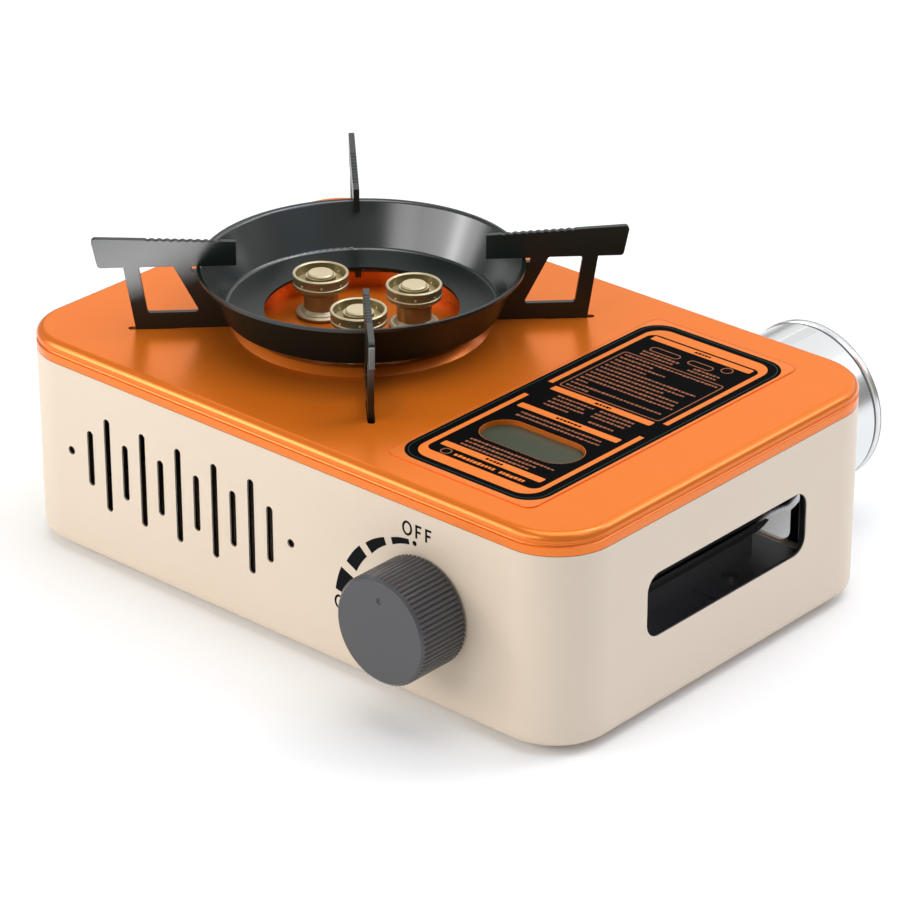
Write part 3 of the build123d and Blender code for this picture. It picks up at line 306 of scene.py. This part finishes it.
# %% [markdown]
# ## Moulded ABS knob
# The knob is ABS, moulded in a spark-eroded tool: an even, dry grey with a fine grain. The grain is about 0.1 mm on the
# real one, drawn here at 0.4 mm so that it shows. Modelled, it would take millions of faces, so a bump gives it.

# %% Moulded ABS
SPARK_GRAIN, SPARK_DEPTH = 0.4 * MM, 0.05 * MM

abs_grey, tree, shader = start_finish("moulded_abs_grey", "#4b4b4d", 0.26, IOR=1.53, Specular_IOR_Level=0.4)
grain, tone = two_tones(tree, SPARK_GRAIN, "#48484a", "#4e4e50", 1.0)
tree.links.new(tone, shader.inputs["Base Color"])
bump = add_node(tree, "ShaderNodeBump", {"Strength": 0.08, "Distance": SPARK_DEPTH}, {"Height": grain})
tree.links.new(bump.outputs[0], shader.inputs["Normal"])
dress(abs_grey, "control_knob")

# %% [markdown]
# ## Label film and sight pane
# The label is printed on clear PET film, so its bare edge shows the orange under it, a touch glossier than the paint.
# The pane under the pill-shaped hole is smoked polycarbonate, olive grey and nearly opaque: it lets just enough light
# through to show whether a cartridge is in. A clear shader for the film would show the paint below by itself, but two
# sheets so close together are prone to dark spots, so the film carries the orange.

# %% Film and pane
film, tree, shader = start_finish("clear_pet_film_on_orange", "#f07c22", 0.27, Metallic=0.4, Specular_IOR_Level=0.2)
_, tone = two_tones(tree, 20 * MM, "#ef791f", "#f17f26")
tree.links.new(tone, shader.inputs["Base Color"])
dress(film, "label_panel")

pane, tree, shader = start_finish("smoked_polycarbonate", "#3c4232", 0.4, IOR=1.58, Specular_IOR_Level=0.12)
_, tone = two_tones(tree, 12 * MM, "#393f2f", "#404636")
tree.links.new(tone, shader.inputs["Base Color"])
dress(pane, "sight_window")

# %% [markdown]
# ## Dark coat, plating, castings and the small parts
# What sits inside is plainer, but it shows through the window, the vents and the rear mouth. The tray and the cradle
# have a thin black electrophoretic coat, screws and tubes are zinc plated, the regulator is cast aluminium with a
# grainy skin, the feet are rubber, and the electrode is glazed ceramic. One grey for all of them would be quicker, but
# the eye tells a casting from a plated screw by its gloss, even in the dark.

# %% Inner finishes: sheet and plating
# A dull sheen that changes over about 2 mm, so a flat sheet doesn't look like a mirror
ecoat, tree, shader = start_finish("black_electrocoated_steel", "#58585a", 0.38, IOR=1.5)
place = add_node(tree, "ShaderNodeTexCoord").outputs["Object"]
grain = add_node(tree, "ShaderNodeTexNoise", {"Scale": 1 / (2 * MM), "Detail": 2.0}, {"Vector": place})
rough = add_node(tree, "ShaderNodeMapRange", {"To Min": 0.36, "To Max": 0.5}, {"Value": grain.outputs["Fac"]})
tree.links.new(rough.outputs[0], shader.inputs["Roughness"])
dress(ecoat, "bay_tray", "canister_cradle")

# A cold grey gloss, with crystals of zinc about 1.5 mm across
zinc, tree, shader = start_finish("zinc_plated_steel", "#b9bcc0", 0.35, Metallic=1.0)
place = add_node(tree, "ShaderNodeTexCoord").outputs["Object"]
spangle = add_node(tree, "ShaderNodeTexVoronoi", {"Scale": 1 / (1.5 * MM)}, {"Vector": place})
tone = add_node(tree, "ShaderNodeMix", {"data_type": "RGBA", 6: linear("#aeb2b6"), 7: linear("#c3c5c8")},
                {0: spangle.outputs["Distance"]})
tree.links.new(tone.outputs[2], shader.inputs["Base Color"])
dress(zinc, "base_screws", "cradle_screws", "panel_nut", "tie_pillars", "mixing_tube", "heat_shield")

# %% Inner finishes: casting, rubber and ceramic
# The mould leaves a skin with grains of about 0.7 mm, which break up the gloss
casting, tree, shader = start_finish("cast_aluminium", "#a5a7a9", 0.5, Metallic=1.0)
place = add_node(tree, "ShaderNodeTexCoord").outputs["Object"]
grain = add_node(tree, "ShaderNodeTexNoise", {"Scale": 1 / (0.7 * MM), "Detail": 3.0}, {"Vector": place})
rough = add_node(tree, "ShaderNodeMapRange", {"To Min": 0.42, "To Max": 0.6}, {"Value": grain.outputs["Fac"]})
tree.links.new(rough.outputs[0], shader.inputs["Roughness"])
bump = add_node(tree, "ShaderNodeBump", {"Strength": 0.2, "Distance": 0.1 * MM}, {"Height": grain.outputs["Fac"]})
tree.links.new(bump.outputs[0], shader.inputs["Normal"])
dress(casting, "burner_manifold", "regulator_body", "regulator_socket")

# Nearly without gloss, and never quite black
rubber, tree, shader = start_finish("moulded_rubber_black", "#1d1d1e", 0.75, IOR=1.52)
_, tone = two_tones(tree, 0.8 * MM, "#19191a", "#232324")
tree.links.new(tone, shader.inputs["Base Color"])
dress(rubber, "rubber_feet", "socket_seal", "igniter_lead", "piezo_igniter")

# A warm white under a hard gloss
ceramic, tree, shader = start_finish("glazed_ceramic", "#e9e4d9", 0.18, IOR=1.55)
_, tone = two_tones(tree, 3 * MM, "#e4ded1", "#eeeae1")
tree.links.new(tone, shader.inputs["Base Color"])
dress(ceramic, "igniter_electrode")

# %% [markdown]
# ## Softer edges on the pressed plates
# A stamped edge is never quite sharp: its small round catches the light as a thin bright line. The CAD plates are
# sharp, and their meshes stay as they are, so modifiers do it: weld the split corners, dissolve flat triangles into
# whole faces, then bevel what is left.

# %% Edge rounds
SAME_POINT = 0.002 * MM


def soften(width, *names):
    """Rounds the sharp edges of CAD nodes with modifiers; width is in metres."""
    for name in names:
        weld = nodes[name].modifiers.new("weld", "WELD")
        weld.merge_threshold = SAME_POINT
        flat = nodes[name].modifiers.new("flat faces", "DECIMATE")
        flat.decimate_type = "DISSOLVE"
        flat.angle_limit = math.radians(0.5)
        edge = nodes[name].modifiers.new("edge", "BEVEL")
        edge.width = width
        edge.segments = 2
        edge.limit_method = "ANGLE"
        edge.angle_limit = math.radians(40)
        edge.harden_normals = False
        nodes[name].modifiers.new("normals", "WEIGHTED_NORMAL").keep_sharp = False
    print("edges of", len(names), "nodes rounded by", round(width / MM, 2), "mm")


soften(0.3 * MM, *SUPPORTS)

# %% [markdown]
# ## Printing as thin plates
# Ink has a thickness of a few hundredths of a millimetre. An image texture could carry it, but a plate of ink cut to
# its outline stays sharp at any distance. A 2-D curve is the quick way: Blender fills its outlines, and an outline
# inside another becomes a hole. The curve is turned into a mesh, its seams are merged, and it is set on the face it is
# printed on.

# %% Ink plates
INK = 0.04 * MM


def ring_of(x, y, across, tall, steps=40):
    """A round or oval outline."""
    turns = [2 * math.pi * i / steps for i in range(steps)]
    return [(x + across / 2 * math.cos(a), y + tall / 2 * math.sin(a)) for a in turns]


def rounded_box(x0, y0, x1, y1, radius, steps=8):
    """A rectangle with round corners, counter-clockwise."""
    corners = ((x1 - radius, y1 - radius, 0), (x0 + radius, y1 - radius, 90),
               (x0 + radius, y0 + radius, 180), (x1 - radius, y0 + radius, 270))
    turns = [(cx, cy, math.radians(start + 90 * i / steps)) for cx, cy, start in corners for i in range(steps + 1)]
    return [(cx + radius * math.cos(a), cy + radius * math.sin(a)) for cx, cy, a in turns]


def print_ink(name, outlines, ink, face, level=0):
    """A plate of ink in the outlines, in millimetres on a face; level counts the layers of ink under it."""
    curve = bpy.data.curves.new(name, "CURVE")
    curve.dimensions = "2D"
    curve.fill_mode = "BOTH"
    # Extruded by a half to both sides, the plate is 1 thick, and the transform below makes that one layer of ink
    curve.extrude = 0.5
    for outline in outlines:
        spline = curve.splines.new("POLY")
        spline.points.add(len(outline) - 1)
        spline.use_cyclic_u = True
        for point, (x, y) in zip(spline.points, outline):
            point.co = (x, y, 0, 1)
    drawn = bpy.data.objects.new(name, curve)
    mesh = bpy.data.meshes.new_from_object(drawn)
    bpy.data.objects.remove(drawn)
    mesh.name = name
    mesh.transform(face @ Matrix.Diagonal((MM, MM, INK, 1)) @ Matrix.Translation((0, 0, 0.5 + level)))
    mesh.materials.clear()
    mesh.materials.append(ink)
    piece = bpy.data.objects.new(name, mesh)
    scene.collection.objects.link(piece)
    piece.modifiers.new("weld", "WELD").merge_threshold = SAME_POINT
    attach(piece, "stove")
    print(name, "from", len(outlines), "outlines,", len(mesh.polygons), "faces")


print("a layer of ink is", round(INK / MM, 2), "mm thick")

# %% [markdown]
# ## Inks
# Screen ink is pressed through a mesh, which leaves it matt and a little uneven over a few millimetres. The black has
# hardly any gloss, so the label stays black under the lights; the oranges are mixed duller than the paint round them.
# All of them are made by one function, since only their colours and their gloss differ, and so is the thin line at the
# film's cut edge.

# %% Inks
INK_PATCH = 4 * MM


def start_ink(name, colour, other, roughness, gloss):
    """A screen-print ink in two close tones; gloss is its specular level."""
    ink, tree, shader = start_finish(name, colour, roughness, IOR=1.5, Specular_IOR_Level=gloss)
    _, tone = two_tones(tree, INK_PATCH, colour, other, 3.0)
    tree.links.new(tone, shader.inputs["Base Color"])
    print("mixed", name)
    return ink


black_ink = start_ink("screen_ink_black", "#070708", "#0a0a0b", 0.7, 0.02)
charcoal_ink = start_ink("screen_ink_charcoal", "#0f1113", "#131618", 0.7, 0.05)
orange_ink = start_ink("screen_ink_orange", "#e8782a", "#ea7f31", 0.5, 0.15)
edge_ink = start_ink("cut_edge_of_film", "#c4560c", "#cf5f12", 0.5, 0.4)
pale_ink = start_ink("screen_ink_pale_orange", "#94593d", "#a06547", 0.6, 0.1)
teal_ink = start_ink("screen_ink_teal", "#1a3634", "#20423f", 0.6, 0.2)

# %% [markdown]
# ## The label
# The label's black panel carries an orange frame in two halves, four orange bars, and blocks of fine rows. The rows are
# plain dashes. A texture could hold all of it, but separate plates keep every edge sharp, and each takes its own ink.
# All places are millimetres from the label's middle, x to the right and y to the rear.

# %% Label panel and frame
film_low, film_high = (Vector(corner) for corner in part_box("label_panel"))
label_face = Matrix.Translation(((film_low.x + film_high.x) / 2, tub_middle.y, film_high.z))
FILM, FILM_ROUND = (-35.3, -80.7, 35.3, 78.1), 4.6
PANEL, PANEL_ROUND = (-33.8, -77.7, 33.8, 75.3), 10.5
SIGHT = rounded_box(-22.85, -48.3, 22.85, -28.5, 9.85, 16)
BAR_LEFT, BAR_RIGHT, BAR_HALF, BAR_ROUND = -24.4, 24.1, 1.8, 0.7
BARS = (62.4, 2.1, -17.2, -60.4)


def inset(box, radius, by):
    """The outline of a rounded box, made smaller by the same amount all round."""
    return rounded_box(box[0] + by, box[1] + by, box[2] - by, box[3] - by, radius - by)


def bracket(outer, inner, end, steps=10):
    """Half of the frame: from end round the far edge and back; outer and inner give the side, far edge and round."""
    way = 1 if outer[1] > end else -1

    def path(side, far, radius):
        turns = [math.radians(90 * i / steps) for i in range(steps + 1)]
        first = [(-side + radius * (1 - math.cos(a)), far - way * radius * (1 - math.sin(a))) for a in turns]
        return [(-side, end)] + first + [(-x, y) for x, y in reversed(first)] + [(side, end)]

    return path(*outer) + path(*inner)[::-1]


print_ink("label_edge_line", [inset(FILM, FILM_ROUND, by) for by in (0.02, 0.3)], edge_ink, label_face)
print_ink("label_black_panel", [rounded_box(*PANEL, PANEL_ROUND), SIGHT], black_ink, label_face)
print_ink("label_teal_line", [inset(PANEL, PANEL_ROUND, by) for by in (1.3, 1.6)], teal_ink, label_face, 1)
print_ink("label_frame", [bracket((29.2, 71.1, 8.0), (26.9, 65.3, 3.8), 5.0),
                          bracket((29.2, -73.7, 8.0), (26.9, -68.1, 3.8), -8.7)], orange_ink, label_face, 1)
print_ink("label_bars", [rounded_box(BAR_LEFT, y - BAR_HALF, BAR_RIGHT, y + BAR_HALF, BAR_ROUND) for y in BARS],
          orange_ink, label_face, 1)
print_ink("label_box_line", [rounded_box(-24.4, 5.3, 24.5, 45.5, 1.6), rounded_box(-23.9, 5.8, 24.0, 45.0, 1.2)],
          pale_ink, label_face, 1)

# %% [markdown]
# ## The label's rows and small signs
# A row is its height and its two ends, and the dashes in it differ in width and in how tall they are. An array modifier
# could repeat one dash, but then every row would look alike; a seeded draw keeps them lively and always the same.

# %% Label rows
BOX_TOP, BOX_PITCH, BOX_LEFT = 43.0, 2.93, -22.5
BOX_ENDS = (22.5, -6.2, 1.9, -4.4, 21.2, 18.1, 10.6, 20.0, 21.2, 21.9, -16.9, 21.2, -11.0)
DASH_WIDE, DASH_GAP = (1.0, 1.75), (0.35, 0.5)
LEAST_DASH = 0.5


def dashes(rows, tall, seed):
    """Rows of short dashes; a row is its height and its two ends."""
    draw = random.Random(seed)
    boxes = []
    for y, start, end in rows:
        x = start
        while x < end - LEAST_DASH:
            wide = min(draw.uniform(*DASH_WIDE), end - x)
            low, high = draw.uniform(0, 0.3), draw.uniform(0, 0.25)
            boxes.append([(x, y - tall / 2 + low), (x + wide, y - tall / 2 + low),
                          (x + wide, y + tall / 2 - high), (x, y + tall / 2 - high)])
            x += wide + draw.uniform(*DASH_GAP)
    return boxes


box_rows = [(BOX_TOP - BOX_PITCH * i, BOX_LEFT, end) for i, end in enumerate(BOX_ENDS)]
head_rows = [(50.3, -19.4, -1.2), (47.8, -18.8, -3.0), (50.3, 5.6, 18.0), (47.8, 4.4, 18.0)]
middle_rows = [(-2.2, 2.5, 19.4), (-5.0, 2.5, 19.4), (-7.6, 2.5, 19.0), (-11.9, 5.0, 16.9)]
side_rows = [(-2.4, -18.0, -0.5), (-5.2, -18.0, -2.0), (-8.0, -18.0, -0.5), (-10.8, -18.0, -6.0)]
sight_rows = [(-22.0, -19.4, 19.4), (-24.8, -19.4, 20.6), (-51.3, -18.8, 21.5), (-54.0, -18.8, 15.0),
              (-56.7, -18.8, 14.4)]
fine_rows = box_rows + head_rows + middle_rows + side_rows + sight_rows
foot_rows = [(-65.3, -14.4, 5.0), (-65.3, 7.5, 19.8)]
bar_rows = [(62.4, -3.4, 4.2), (2.1, -3.4, 4.2), (-17.2, -6.2, 6.8), (-60.4, -3.4, 4.6)]
print(len(fine_rows), "fine rows,", len(foot_rows), "at the foot and", len(bar_rows), "on the bars")

# %% Label print
RINGS, RING_LINE = ((-18.5, -65.2, 4.6), (16.2, 57.3, 5.0)), 0.45
CAPSULES, CAPSULE_ROUND, CAPSULE_LINE = ((-18.8, 52.2, -4.4, 56.2), (-0.2, 52.2, 11.6, 56.2)), 1.9, 0.5

print_ink("label_rows", dashes(fine_rows, 1.3, 3), pale_ink, label_face, 1)
print_ink("label_foot_row", dashes(foot_rows, 1.9, 5), orange_ink, label_face, 1)
print_ink("label_rings", [ring_of(x, y, across - 2 * by, across - 2 * by) for x, y, across in RINGS
                          for by in (0, RING_LINE)], pale_ink, label_face, 1)
print_ink("label_capsules", [inset(box, CAPSULE_ROUND, by) for box in CAPSULES for by in (0, CAPSULE_LINE)],
          pale_ink, label_face, 1)
print_ink("label_bar_words", dashes(bar_rows, 1.5, 7), black_ink, label_face, 2)

# %% [markdown]
# ## The dial
# Round the knob the setting is printed straight on the tub: a dot at the closed end, then four blocks that grow with
# the flame, and the two words. The blocks follow a spiral, so each has its own radii at its two ends. A font would do
# for the words, but three plain letters are quicker to draw than to fit.

# %% Dial print
DIAL_X, DIAL_Z = 76.1, 43.6
dial_face = Matrix.Translation((0, tub_low.y, 0)) @ Matrix.Rotation(math.radians(90), 4, "X")
LETTER_TALL = 5.5
LETTER_F = [(0, 0), (0.32, 0), (0.32, 0.41), (0.88, 0.41), (0.88, 0.58), (0.32, 0.58), (0.32, 0.835), (1, 0.835),
            (1, 1), (0, 1)]
LETTER_N = [(0, 0), (0.23, 0), (0.23, 0.66), (0.76, 0), (1, 0), (1, 1), (0.77, 1), (0.77, 0.34), (0.24, 1), (0, 1)]


def spiral_block(outer_angles, outer_radii, inner_angles, inner_radii, steps=10):
    """A block between two curves; each has an angle and a radius at its two ends."""

    def along(angles, radii, share):
        angle = math.radians(angles[0] + (angles[1] - angles[0]) * share)
        radius = radii[0] + (radii[1] - radii[0]) * share
        return DIAL_X + radius * math.cos(angle), DIAL_Z + radius * math.sin(angle)

    shares = [i / steps for i in range(steps + 1)]
    return ([along(outer_angles, outer_radii, share) for share in shares]
            + [along(inner_angles, inner_radii, share) for share in reversed(shares)])


def letter(shape, x, y, wide):
    """A letter from its outline on a square of 1, set on the face."""
    return [(x + wide * u, y + LETTER_TALL * v) for u, v in shape]


def letter_o(x, y):
    """The two outlines of a round letter, about its middle."""
    return [ring_of(x, y, 4.9, 6.0), ring_of(x, y, 3.0, 4.1)]


dot = [ring_of(71.7, 68.35, 2.0, 2.0)]
blocks = [spiral_block((106.0, 124.6), (26.5, 28.3), (106.3, 126.4), (24.4, 25.6)),
          spiral_block((131.4, 150.2), (29.5, 33.3), (133.7, 152.7), (26.6, 28.8)),
          spiral_block((155.8, 171.7), (35.0, 38.9), (158.6, 174.8), (30.2, 33.6)),
          spiral_block((176.8, 190.1), (41.3, 45.0), (180.5, 193.5), (35.2, 39.0))]
closed_word = letter_o(68.1, 73.4) + [letter(LETTER_F, x, 70.65, 3.0) for x in (72.1, 76.9)]
open_word = letter_o(33.6, 30.6) + [letter(LETTER_N, 37.4, 27.85, 4.1)]
print_ink("dial_print", dot + blocks + closed_word + open_word, charcoal_ink, dial_face)

# %% [markdown]
# ## Painted shade round the vents
# The vents look a little wider in the picture than the slots that were cut in the solid. So each slot and each dot gets
# a ring of painted shade, near-black and a third of a millimetre wide, which widens the dark of the opening. Wider
# slots would be the better way, but the frame's meshes stay as they are.

# %% Vent edges
VENT_X, VENT_Z = -50.5, 46.6
SLOTS, SLOT_PITCH, SLOT_WIDE, SHORT_SLOT, LONG_SLOT = 11, 9.72, 2.6, 23.0, 39.3
DOT_ASIDE, DOT_WIDE = 59.5, 2.8
SHADE_RING_WIDE = 0.33


def slot_outline(x, tall, spare):
    """The outline of a slot, made larger by spare; its round is a hair less than half, so that no edge has length 0."""
    half_wide, half_tall = SLOT_WIDE / 2 + spare, tall / 2 + spare
    return rounded_box(x - half_wide, VENT_Z - half_tall, x + half_wide, VENT_Z + half_tall, half_wide * 0.999, 12)


vents = []
for i in range(SLOTS):
    for spare in (SHADE_RING_WIDE, 0.0):
        vents.append(slot_outline(VENT_X + (i - SLOTS // 2) * SLOT_PITCH, LONG_SLOT if i % 2 else SHORT_SLOT, spare))
for side in (-1, 1):
    for across in (DOT_WIDE + 2 * SHADE_RING_WIDE, DOT_WIDE):
        vents.append(ring_of(VENT_X + side * DOT_ASIDE, VENT_Z, across, across))
# A near-black ring round each opening: painted shade that widens the vents
vent_shade_ink = start_ink("painted_vent_shade", "#0b0b0c", "#101011", 0.6, 0.1)
print_ink("vent_edges", vents, vent_shade_ink, dial_face)

# %% [markdown]
# ## The cartridge's welded seam
# The can is rolled from sheet and welded along its length. The weld leaves a bright lap about a millimetre wide, and
# beside it a bare band where the coat of tin is thinner. A groove in the CAD can would be right too, but the lap stands
# proud by only a few hundredths, so it is a thin curved strip that rides with the cartridge when it is pulled out.

# %% Strips on the cartridge
CAN_RADIUS = 33.5
can_low, can_high = (Vector(corner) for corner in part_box("gas_canister"))
can_middle = (can_low + can_high) / 2


def wrap_strip(name, angles, ends, radius, thick, finish, steps=8):
    """A strip on the cartridge between two angles, in degrees from +X towards +Z, and two ends along Y, in metres."""
    turns = [math.radians(angles[0] + (angles[1] - angles[0]) * i / steps) for i in range(steps + 1)]
    rows = []
    for y in ends:
        for reach in (radius * MM, (radius + thick) * MM):
            rows.append([(can_middle.x + reach * math.cos(a), y, can_middle.z + reach * math.sin(a)) for a in turns])
    count = steps + 1
    faces = []
    for low, high in ((0, 1), (1, 3), (3, 2), (2, 0)):
        faces += [(low * count + i, low * count + i + 1, high * count + i + 1, high * count + i) for i in range(steps)]
    faces += [(0, count, 3 * count, 2 * count), (steps, 2 * count + steps, 3 * count + steps, count + steps)]
    mesh = bpy.data.meshes.new(name)
    mesh.from_pydata([point for row in rows for point in row], [], faces)
    mesh.materials.append(finish)
    strip = bpy.data.objects.new(name, mesh)
    scene.collection.objects.link(strip)
    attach(strip, "canister")
    print(name, "is", round(math.radians(abs(angles[1] - angles[0])) * radius, 1), "mm round")


print("cartridge:", round((can_high.y - can_low.y) / MM), "mm long")

# %% Welded seam
# A row of flattened beads, about 1.2 mm each, so the gloss runs along the lap in small steps
lap, tree, shader = start_finish("polished_weld_lap", "#f2f2f1", 0.2, Metallic=1.0)
place = add_node(tree, "ShaderNodeTexCoord").outputs["Object"]
beads = add_node(tree, "ShaderNodeTexNoise", {"Scale": 1 / (1.2 * MM), "Detail": 1.0}, {"Vector": place})
rough = add_node(tree, "ShaderNodeMapRange", {"To Min": 0.15, "To Max": 0.3}, {"Value": beads.outputs["Fac"]})
tree.links.new(rough.outputs[0], shader.inputs["Roughness"])

# Greyer and duller than the tin beside it
bare, tree, shader = start_finish("bare_steel_band", "#dadcdd", 0.3, Metallic=1.0)
_, tone = two_tones(tree, 2 * MM, "#d4d6d7", "#e0e2e3")
tree.links.new(tone, shader.inputs["Base Color"])

can_wall = (can_low.y + 18 * MM, can_high.y - 4.8 * MM)
wrap_strip("cartridge_weld_lap", (92.8, 91.2), can_wall, CAN_RADIUS, 0.06, lap)
wrap_strip("cartridge_bare_band", (91.2, 82.6), can_wall, CAN_RADIUS, 0.03, bare)

# %% [markdown]
# ## The rolled end of the cartridge
# The end is rolled over the can's edge with a sealing compound in the joint. Two dark grey lines are painted shade: one
# in the groove before the roll, and another where the sheet's cut edge turns under. A dark stripe in the tinplate's own
# finish would do as well, but as strips the lines can be placed to a tenth of a millimetre.

# %% Painted shade at the seam
ALL_ROUND, ROUND_STEPS = (-90, 270), 96

# Dark grey for the two rings of painted shade at the rolled end
seam_shade_ink, tree, shader = start_finish("painted_seam_shade_grey", "#55575a", 0.5, IOR=1.5)
_, tone = two_tones(tree, 3 * MM, "#4b4d50", "#626467")
tree.links.new(tone, shader.inputs["Base Color"])
groove = (can_high.y - 4.1 * MM, can_high.y - 3.2 * MM)
wrap_strip("cartridge_groove_line", ALL_ROUND, groove, CAN_RADIUS - 0.5, 0.3, seam_shade_ink, ROUND_STEPS)
turned_under = (can_high.y - 0.95 * MM, can_high.y - 0.6 * MM)
wrap_strip("cartridge_edge_line", ALL_ROUND, turned_under, CAN_RADIUS + 0.4, 0.03, seam_shade_ink, ROUND_STEPS)

# %% [markdown]
# ## The floor
# The stove stands on a sheet of white paper that glows a little, as on a light table, so that its shadow stays soft. A
# plane would do; a wide disc has no corner that could come into view from another side.

# %% Floor
FLOOR_RADIUS, FLOOR_STEPS = 6.0, 64

paper, tree, shader = start_finish("white_paper_sweep", "#f7f7f6", 0.9, IOR=1.4, Emission_Strength=0.06)
_, tone = two_tones(tree, 3 * MM, "#f6f6f5", "#f9f9f8")
tree.links.new(tone, shader.inputs["Base Color"])
turns = [2 * math.pi * i / FLOOR_STEPS for i in range(FLOOR_STEPS)]
sheet = bpy.data.meshes.new("floor")
sheet.from_pydata([(math.cos(a) * FLOOR_RADIUS, math.sin(a) * FLOOR_RADIUS, 0) for a in turns], [],
                  [list(range(FLOOR_STEPS))])
sheet.materials.append(paper)
floor = bpy.data.objects.new("floor", sheet)
scene.collection.objects.link(floor)
print("floor: a sheet", round(floor.dimensions.x, 1), "m across")

# %% [markdown]
# ## Light
# The picture is a studio one. A broad soft box at the front left brightens the cream front and fades along it; it shows
# in the pan as a wide band, with a strip for the brightest streak and a smaller box beside it. A wide pale panel behind
# the stove is what the cover and the cartridge mirror, a box overhead lights the cover evenly, a small one high behind
# it draws the bright fold in the pan, and one at the rear right the line along the cover's right shoulder. The right
# wall gets two weak fills, both rather blue: one from high up, and one from far away, linked to the tub alone so that
# it leaves the floor white. Two more are linked in the same way: a card on the ground gives the dark supports their
# gloss, and a weak lamp at the front right shines through the window on the sheets of the bay. A picture of a studio
# round the scene could give all this at once, but lamps can be moved one by one.

# %% Lights
# Each lamp: its name, its place and what it is turned to, in metres, its width and height, and its watts
LAMPS = (
    ("key_front_left", (-0.64, -1.05, 0.55), (0, 0, 0.08), 1.4, 0.65, 7.6),
    ("strip_front_left", (-0.82, -0.96, 0.52), (0, 0, 0.1), 0.16, 0.55, 1.7),
    ("strip_front", (0.15, -1.2, 0.75), (0, 0, 0.1), 0.4, 0.4, 1.6),
    ("panel_behind", (-0.3, 1.45, 1.05), (0, 0, 0.09), 3.4, 1.5, 12),
    ("overhead", (0.05, 0.05, 1.6), (0, 0, 0.09), 1.2, 1.2, 10.5),
    ("high_behind", (0.4, 0.52, 1.15), (0, 0, 0.1), 0.36, 0.36, 2.6),
    ("rim_right", (0.8, 1.0, 0.98), (0.1, 0, 0.09), 0.5, 0.5, 2.6),
    ("fill_right_high", (0.88, 0.14, 1.12), (0.1, 0, 0.05), 0.5, 0.5, 1.9),
    ("fill_right", (2.3, 0.35, 0.32), (0.14, 0, 0.045), 1.3, 0.4, 2.0),
    ("low_card", (0.12, -0.245, 0.004), (0.12, -0.245, 1.0), 0.26, 0.12, 1.7),
    ("bay_lamp", (0.85, -0.62, 0.55), (0.1, 0, 0.03), 0.35, 0.35, 3),
)


def soft_box(name, place, aim, wide, tall, power):
    """A rectangular soft light, in metres and watts, turned towards a point."""
    light = bpy.data.lights.new(name, "AREA")
    light.shape = "RECTANGLE"
    light.size, light.size_y, light.energy = wide, tall, power
    lamp = bpy.data.objects.new(name, light)
    scene.collection.objects.link(lamp)
    lamp.location = place
    lamp.rotation_euler = (Vector(aim) - Vector(place)).to_track_quat("-Z", "Y").to_euler()
    return lamp


def shine_only_on(lamp, *names):
    """Links a lamp to a few CAD nodes, so that it lights nothing else."""
    lit = bpy.data.collections.new("lit by " + lamp.name)
    for name in names:
        lit.objects.link(nodes[name])
    lamp.light_linking.receiver_collection = lit


lamps = {row[0]: soft_box(*row) for row in LAMPS}
for name in ("fill_right_high", "fill_right"):
    lamps[name].data.color = linear("#a9c8ff")[:3]
lamps["low_card"].visible_camera = lamps["low_card"].visible_diffuse = False
shine_only_on(lamps["fill_right"], "body_shell")
shine_only_on(lamps["low_card"], *SUPPORTS)
shine_only_on(lamps["bay_lamp"], "bay_tray", "canister_cradle", "cradle_screws")
print(len(lamps), "lamps,", round(sum(row[5] for row in LAMPS), 1), "W in all")

# %% [markdown]
# ## The room
# A pale room fills the shadows from all sides. The Standard view transform shows colours as they are; the default one
# compresses bright colours, and the orange would turn pale.

# %% Room
ROOM_LIGHT = 0.3

world = bpy.data.worlds.new("studio")
scene.world = world
world.use_nodes = True
world.node_tree.nodes["Background"].inputs["Color"].default_value = linear("#fbfbfa")
world.node_tree.nodes["Background"].inputs["Strength"].default_value = ROOM_LIGHT
scene.view_settings.view_transform = "Standard"
print("room light:", ROOM_LIGHT)
